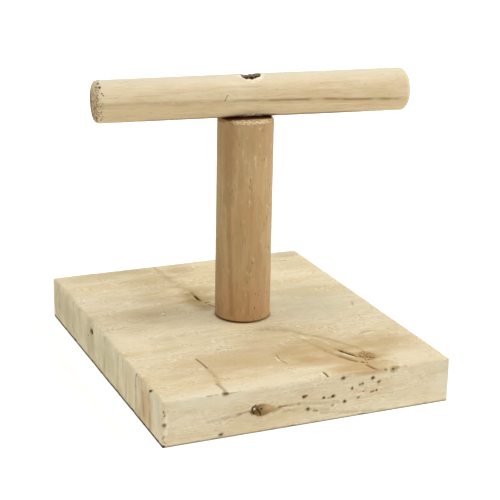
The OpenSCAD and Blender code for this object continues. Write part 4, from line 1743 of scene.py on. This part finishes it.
@dataclass
class Bar:
    """The perch bar: a dowel a little thicker at the right, with rounded ends and a ragged screw hole."""

    middle: Point
    bed_z: float
    turn_deg: float = BAR_TURN_DEG
    length: float = 180.5
    radius: float = 11.93
    taper: float = 0.0026
    crown: float = 11.9
    right: float = 4.2
    ridge_deep: float = 0.03
    dent_deep: float = 0.14
    sway: float = 0.07
    end_r: float = 3
    end_gap: float = 0.05
    saw_deep: float = 0.09
    bed_r: float = 14.75
    hole_right: float = 1.9
    hole: ScrewHole = field(default_factory=lambda: ScrewHole(sink_deep=7))
    chip_deep: float = 0.5
    chip: Pair = (-1.68, 0.17)
    bulge_deep: float = 1.3
    bulge: Pair = (-2.3, 0.42)
    fray: float = 0.22
    bore_shares: tuple[float, ...] = (0.12, 0.3, 0.5, 0.7, 0.88)
    block: float = 10
    end_rings: int = 12
    arris_rings: int = 8
    columns: int = 132
    step: float = 0.95
    fine_share: float = 0.7
    fine_reach: float = 14

    def ends(self, inset: float = 0) -> Pair:
        """Places of both ends, drawn in by an inset."""
        return self.right - self.length / 2 + inset, self.right + self.length / 2 - inset

    def side(self, x: Grid, angle: Grid) -> Grid:
        """Points of the skin in the bar's own frame, for places along it and angles round it.

        The radius is r + taper * (x - middle), less ridges and dents. The crown stays level, so the thicker
        end lies lower, and the bed keeps the height over the post.

        Args:
            x: Places along the bar from the post's axis.
            angle: Angles from the level, upwards positive.

        Returns:
            Points.
        """
        base = self.radius + self.taper * (x - self.right)
        at = xyz(x, base * np.cos(angle), base * np.sin(angle))
        ridges = self.ridge_deep * rough(at, (30, 1.5, 1.5), 101)
        wander = self.sway * rough(at, (55, 15, 15), 111)
        dents = self.dent_deep * smooth(0.5, 0.9, rough(at, (7, 2.6, 2.6), 121))
        r = base + ridges + wander - dents
        y = r * np.cos(angle)
        z = r * np.sin(angle) - np.maximum(base - self.crown, 0)
        bed = (np.hypot(x, y) < self.bed_r) & (z < 0)
        return xyz(x, y, np.where(bed, np.maximum(z, self.bed_z), z))

    def _end(self, sign: int, angle: Grid) -> Grid:
        """Rings over one end: the sawn face with its marks, then a quarter circle to the straight side.

        Args:
            sign: -1 for the left end, 1 for the right.
            angle: Angles round the bar.

        Returns:
            Rings of points, from the middle out.
        """
        stop = self.ends()[(sign + 1) // 2]
        edge = self.side(np.full_like(angle, stop - sign * self.end_r), angle)
        flat = 1 - self.end_r / self.radius
        rings = []
        for share in np.linspace(0, flat, self.end_rings):
            saw = self.saw_deep * np.abs(lattice(edge * (0, share, share / 0.8), 131)) * min(1, share * 3)
            rings.append(edge * (0, share, share) + xyz(stop - sign * (self.end_gap + saw), 0, 0))
        for bend in np.linspace(0, math.pi / 2, self.arris_rings)[1:]:
            share = flat + (1 - flat) * math.sin(bend)
            deep = self.end_gap + (self.end_r - self.end_gap) * (1 - math.cos(bend))
            rings.append(edge * (0, share, share) + (stop - sign * deep, 0, 0))
        return np.stack(rings)

    def rim(self, angle: Grid) -> Grid:
        """Radius of the hole's ragged mouth at each angle: a circle, a chip, a bulge and two noises.

        Args:
            angle: Angles from -pi to pi.

        Returns:
            The radius at each.
        """
        sink = self.hole.sink_r
        at = circle((0, 0), sink, angle, 0)
        torn = self.chip_deep * bell(angle, *self.chip) + self.bulge_deep * bell(angle, *self.bulge)
        return sink + torn + 0.26 * rough(at, 2, 141) + 0.18 * rough(at, 0.7, 151, 1)

    def make(self) -> Piece:
        """Builds the bar's mesh: its side, its two ends and the tunnel of the hole.

        Returns:
            The bar.
        """
        angle = np.linspace(0, TURN, self.columns, endpoint=False) - math.pi / 2
        focus = [(self.hole_right, self.fine_reach)]
        xs = graded(*self.ends(self.end_r), self.step, self.step * self.fine_share, focus)
        reach = round(math.asin(self.block / self.radius) / TURN * self.columns)
        rows = block_ends(xs, self.hole_right, self.block)
        crown = self.columns // 2
        hide = np.zeros((len(xs) - 1, self.columns), dtype=bool)
        hide[slice(*rows), np.r_[crown - reach : crown + reach, -reach:reach]] = True
        skin = Skin()
        skin.grid(self._set(self.side(*np.meshgrid(xs, angle, indexing="ij"))), around=True, hide=hide)
        r, c = rim_loop(rows, (crown - reach, crown + reach))
        tunnel = self._tunnel(xs[r], angle[c % self.columns])
        for rings in (self._end(-1, angle), self._end(1, angle), tunnel):
            skin.grid(self._set(rings), around=True)
        return skin.build("bar_wood")

    def _tunnel(self, x: Grid, angle: Grid) -> Grid:
        """One grid from the block cut in the crown, down the hole, to the block cut in the underside.

        Args:
            x: Places along the bar of the points round the block in the crown.
            angle: Their angles round the bar.

        Returns:
            Rings of points.
        """
        turn = np.arctan2(self.radius * np.cos(angle), x - self.hole_right)
        axis = (self.hole_right, 0)
        sink, seat = self.hole.sink_r, self.radius - self.hole.sink_deep
        rim = self.rim(turn)

        def skirt(radius: Grid | float, side: int, shares: Grid) -> list[Grid]:
            """Rings on the skin, from the block at share 0 to a circle about the hole at share 1."""
            to_x = self.hole_right + radius * np.cos(turn)
            to_a = side * np.arccos(np.clip(radius * np.sin(turn) / self.radius, -1, 1))
            return [self.side(blend(x, to_x, share), blend(side * angle, to_a, share)) for share in shares]

        rings = skirt(rim, 1, np.linspace(0, 1, self.arris_rings))
        top = rings[-1][:, 2]
        for share in self.bore_shares:
            fray = self.fray * rough(circle(axis, sink, turn, seat * share), 0.9, 161) * (1 - share)
            radius = blend(sink, rim, (1 - share) ** 2) + fray
            rings.append(circle(axis, radius, turn, blend(top, seat, share)))
        for radius, deep in self.hole.profile(2 * self.radius):
            rings.append(circle(axis, radius, turn, self.radius - deep))
        return np.stack(rings + skirt(self.hole.way_r, -1, np.linspace(1, 0, self.arris_rings)))

    def _set(self, own: Grid) -> Grid:
        """Carries points from the bar's own frame to the frame of the whole perch."""
        return turned(own, self.turn_deg) + np.array(self.middle)

    def splinters(self, count: int, seed: int) -> Piece:
        """Torn fibres round the mouth of the hole: thin curved spikes that lean in over it.

        Each spike is a four-sided tube along root + reach s + lift s (1 - s), narrowing to nothing.

        Args:
            count: How many spikes.
            seed: Picks their places.

        Returns:
            One piece of all spikes.
        """
        draw = np.random.default_rng(seed).uniform
        skin = Skin()
        along = np.linspace(0, 1, 6)
        for _ in range(count):
            turn = draw(-math.pi, math.pi)
            way = np.array([math.cos(turn), math.sin(turn)])
            root = way * self.rim(np.array([turn])) + (self.hole_right, 0)
            height = math.sqrt(max(self.radius**2 - root[1] ** 2, 0)) - draw(0.1, 2.6)
            inward = -way * draw(0.2, 1)
            lean = inward + np.array([draw(-1, 1), draw(-0.4, 0.4)])
            size = draw(0.9, 2.6)
            z = height + draw(-1.6, 0.35) * along + 0.5 * along * (1 - along)
            level = (root - 0.3 * inward)[:, None] + lean[:, None] * size * along
            path = xyz(*level, np.minimum(z, self.radius - 0.2))
            skin.grid(self._set(spike(path, draw(0.12, 0.34))), around=True)
        return skin.build("hole_splinters")


def spike(path: Grid, radius: float, flat: float = 0.45) -> Grid:
    """A four-sided spike along a path: flat at its sides and closed at both ends.

    The radius at share s of the path is radius * (1 - s)^0.7, and 0 at the root ring.

    Args:
        path: Points by 3.
        radius: Half width at the root.
        flat: Height as a share of the width.

    Returns:
        Rings by 4 by 3.
    """
    way = np.gradient(path, axis=0)
    way /= np.linalg.norm(way, axis=1, keepdims=True)
    side = np.cross(way, np.array([0, 0, 1]))
    side /= np.maximum(np.linalg.norm(side, axis=1, keepdims=True), 1e-6)
    up = np.cross(side, way)
    size = (radius * (1 - np.linspace(0, 1, len(path))) ** 0.7)[:, None, None]
    turn = np.linspace(0, TURN, 4, endpoint=False)[None, :, None]
    body = path[:, None] + (np.cos(turn) * side[:, None] + flat * np.sin(turn) * up[:, None]) * size
    return np.concatenate([np.repeat(path[:1, None], 4, axis=1), body])


@dataclass
class Screw:
    """A countersunk wood screw: cross recess, plain shank, a real thread and a sharp point."""

    name: str
    head: Point
    up: int
    length: float
    turn_deg: float = 0
    head_r: float = 4.5
    head_rim: float = 0.5
    head_edge: float = 0.12
    shank_r: float = 1.9
    thread_r: float = 2.25
    core_r: float = 1.45
    pitch: float = 2
    ridge_share: float = 0.22
    run_in: float = 2
    run_out: float = 2.5
    rows_per_turn: int = 11
    head_rings: int = 34
    thread_share: float = 0.65
    point: float = 5
    recess_deep: float = 2.4
    recess_span: float = 4.8
    recess_arm: float = 1.1
    columns: int = 96

    def _arm(self, u: Grid, v: Grid) -> Grid:
        """Depth of one arm of the recess: it falls from its end to the middle and has steep walls.

        Args:
            u: Places along the arm.
            v: Places across it.

        Returns:
            The depth at each.
        """
        half, span = self.recess_arm / 2, self.recess_span / 2
        fall = np.clip((span - np.abs(u)) / (span - half), 0, 1)
        return self.recess_deep * fall * smooth(half + 0.12, half - 0.1, np.abs(v))

    def make(self) -> Piece:
        """Builds the screw as one grid of rings from the middle of the head to the point.

        The thread's radius is core + (crest - core) * ridge(z / pitch - angle / turn).

        Returns:
            The screw.
        """
        angle = np.linspace(0, TURN, self.columns, endpoint=False)
        rings = []
        for radius in np.linspace(0, self.head_r - self.head_edge, self.head_rings):
            x, y = radius * np.cos(angle), radius * np.sin(angle)
            rings.append(xyz(x, y, -np.maximum(self._arm(x, y), self._arm(y, x))))
        cone = self.head_r - self.shank_r
        low = -self.head_rim - cone
        plain_end = -self.length * (1 - self.thread_share)
        outline = [
            (self.head_r, -self.head_edge),
            (self.head_r, -self.head_rim),
            (self.head_r - cone / 2, -self.head_rim - cone / 2),
            *((self.shank_r, z) for z in np.linspace(low, plain_end, 6)),
        ]
        for z in np.arange(plain_end - 0.1, -self.length + 0.2, -self.pitch / self.rows_per_turn):
            turn = (z / self.pitch - angle / TURN) % 1
            ridge = np.clip(1 - np.abs(turn - 0.5) / self.ridge_share, 0, 1)
            run = smooth(plain_end, plain_end - self.run_in, z)
            run = run * smooth(-self.length, -self.length + self.run_out, z)
            slim = np.clip((z + self.length) / self.point, 0.04, 1)
            outline.append(((self.core_r + (self.thread_r - self.core_r) * ridge * run) * slim, z))
        rings += [circle((0, 0), radius, angle, z) for radius, z in [*outline, (0, -self.length)]]
        skin = Skin()
        own = turned(np.stack(rings), self.turn_deg) * (1, self.up, self.up)
        skin.grid(own + np.array(self.head), around=True)
        return skin.build(self.name)


# Camera and light


@dataclass
class Softbox:
    """A square lamp that looks at a point above the middle of the floor."""

    name: str
    place: Point
    target_z: float
    side: float
    watts: float
    tone: Point = (1, 1, 1)

    def make(self) -> None:
        """Adds the lamp, turned to its target."""
        data = bpy.data.lights.new(self.name, "AREA")
        data.shape = "SQUARE"
        data.size = self.side * MM
        data.energy = self.watts
        data.color = self.tone
        lamp = bpy.data.objects.new(self.name, data)
        lamp.location = tuple(v * MM for v in self.place)
        way = Vector((0, 0, self.target_z)) - Vector(self.place)
        lamp.rotation_euler = way.to_track_quat("-Z", "Y").to_euler()
        bpy.context.scene.collection.objects.link(lamp)


@dataclass
class Studio:
    """The camera as it stood for the photograph, a white floor, a white surround and soft lamps."""

    shift: float
    eye: Point = (-299.7, -706.3, 315.9)
    yaw_deg: float = 23.46
    pitch_deg: float = 18.1
    roll_deg: float = 1.11
    focal_px: float = 1412
    frame_px: float = 500
    film: float = 36
    floor_half: float = 4000
    floor_z: float = -0.02
    surround: float = 0.15
    lamps: tuple[Softbox, ...] = (
        Softbox("key", (900, -700, 1100), 60, 900, 5.4, (1, 0.99, 0.97)),
        Softbox("right_side", (1300, -200, 600), 80, 900, 7.6, (1, 0.99, 0.97)),
        Softbox("over", (-100, 200, 1500), 0, 1300, 17),
        Softbox("front", (-200, -1400, 900), 80, 1000, 1.6),
        Softbox("left_side", (-1300, -400, 700), 60, 1000, 1.7),
    )

    def make(self) -> None:
        """Builds the camera, lamps, floor and surround."""
        self._camera()
        for box in self.lamps:
            box.make()
        self._floor()
        scene = bpy.context.scene
        scene.world = bpy.data.worlds.new("surround")
        scene.world.use_nodes = True
        background = scene.world.node_tree.nodes["Background"].inputs
        background["Color"].default_value = (1, 1, 1, 1)
        background["Strength"].default_value = self.surround
        scene.view_settings.view_transform = "Standard"

    def _camera(self) -> None:
        """Sets the camera by its fitted place, yaw, pitch and roll."""
        a, b, c = (math.radians(d) for d in (self.yaw_deg, self.pitch_deg, self.roll_deg))
        ahead = np.array([math.sin(a) * math.cos(b), math.cos(a) * math.cos(b), -math.sin(b)])
        level = np.array([math.cos(a), -math.sin(a), 0])
        upright = np.cross(level, ahead)
        right = math.cos(c) * level + math.sin(c) * upright
        up = -math.sin(c) * level + math.cos(c) * upright
        data = bpy.data.cameras.new("camera")
        data.sensor_width = self.film
        data.lens = self.film * self.focal_px / self.frame_px
        data.clip_start = 0.01
        data.clip_end = 50
        camera = bpy.data.objects.new("camera", data)
        place = (np.array(self.eye) + (self.shift, 0, 0)) * MM
        axes = Matrix(np.stack([right, up, -ahead], axis=1).tolist())
        camera.matrix_world = Matrix.Translation(place.tolist()) @ axes.to_4x4()
        bpy.context.scene.collection.objects.link(camera)
        bpy.context.scene.camera = camera

    def _floor(self) -> None:
        """Lays the floor, a level sheet under everything."""
        steps = np.linspace(-self.floor_half, self.floor_half, 9)
        skin = Skin()
        skin.grid(xyz(*np.meshgrid(steps, steps, indexing="ij"), self.floor_z))
        floor = skin.build("floor", closed=False)
        half = (BOARD_SIZE[0] / 2, BOARD_SIZE[1] / 2)
        floor.data.materials.append(StudioFloor((self.shift, 0, 0), half).make())


# The whole


def box_mm(node: str) -> tuple[Point, Point, Point]:
    """Lowest corner, highest corner and middle of a solid's box, in millimetres."""
    low, high = (tuple(float(v) / MM for v in corner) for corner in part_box(node))
    return low, high, tuple((a + b) / 2 for a, b in zip(low, high))


def main() -> None:
    """Loads the solids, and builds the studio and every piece."""
    logging.basicConfig(level=logging.INFO, format="%(name)s: %(message)s")
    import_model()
    shift = box_mm("base_board")[2][0]
    Studio(shift).make()
    settle(Board(shift).make(), KnottyBoard((shift, 0, 0)).make(), "base_board")

    low, high, middle = box_mm("post")
    post = Post((middle[0], middle[1], 0), low[2], high[2])
    settle(post.make(), FleckedPost(post.middle, post.top).make(), "post")
    torn_rim = TornFibre("torn_rim", tint(232, 214, 178), tint(206, 176, 132))
    settle(post.fibres(count=110, seed=7), torn_rim.make())

    axis_z = box_mm("perch_bar")[1][2] - BAR_RADIUS
    bar = Bar((middle[0], middle[1], axis_z), post.top - axis_z)
    dowel = PaleDowel(bar.middle, bar.turn_deg, bar.radius, bar.ends(), bar.hole_right)
    settle(bar.make(), dowel.make(), "perch_bar")
    torn_hole = TornFibre("torn_hole", tint(230, 192, 156), tint(58, 28, 12))
    settle(bar.splinters(count=110, seed=5), torn_hole.make())

    zinc = ZincPlate().make()
    hole = turned(np.array([bar.hole_right, 0, box_mm("bar_screw")[1][2]]), bar.turn_deg) + post.middle
    screw = Screw("screw_top", hole, up=1, length=45, turn_deg=24)
    settle(screw.make(), zinc, "bar_screw")
    foot = (middle[0], middle[1], box_mm("base_screw")[0][2])
    screw = Screw("screw_under", foot, up=-1, length=50, turn_deg=11)
    settle(screw.make(), zinc, "base_screw")


if __name__ == "__main__":
    main()
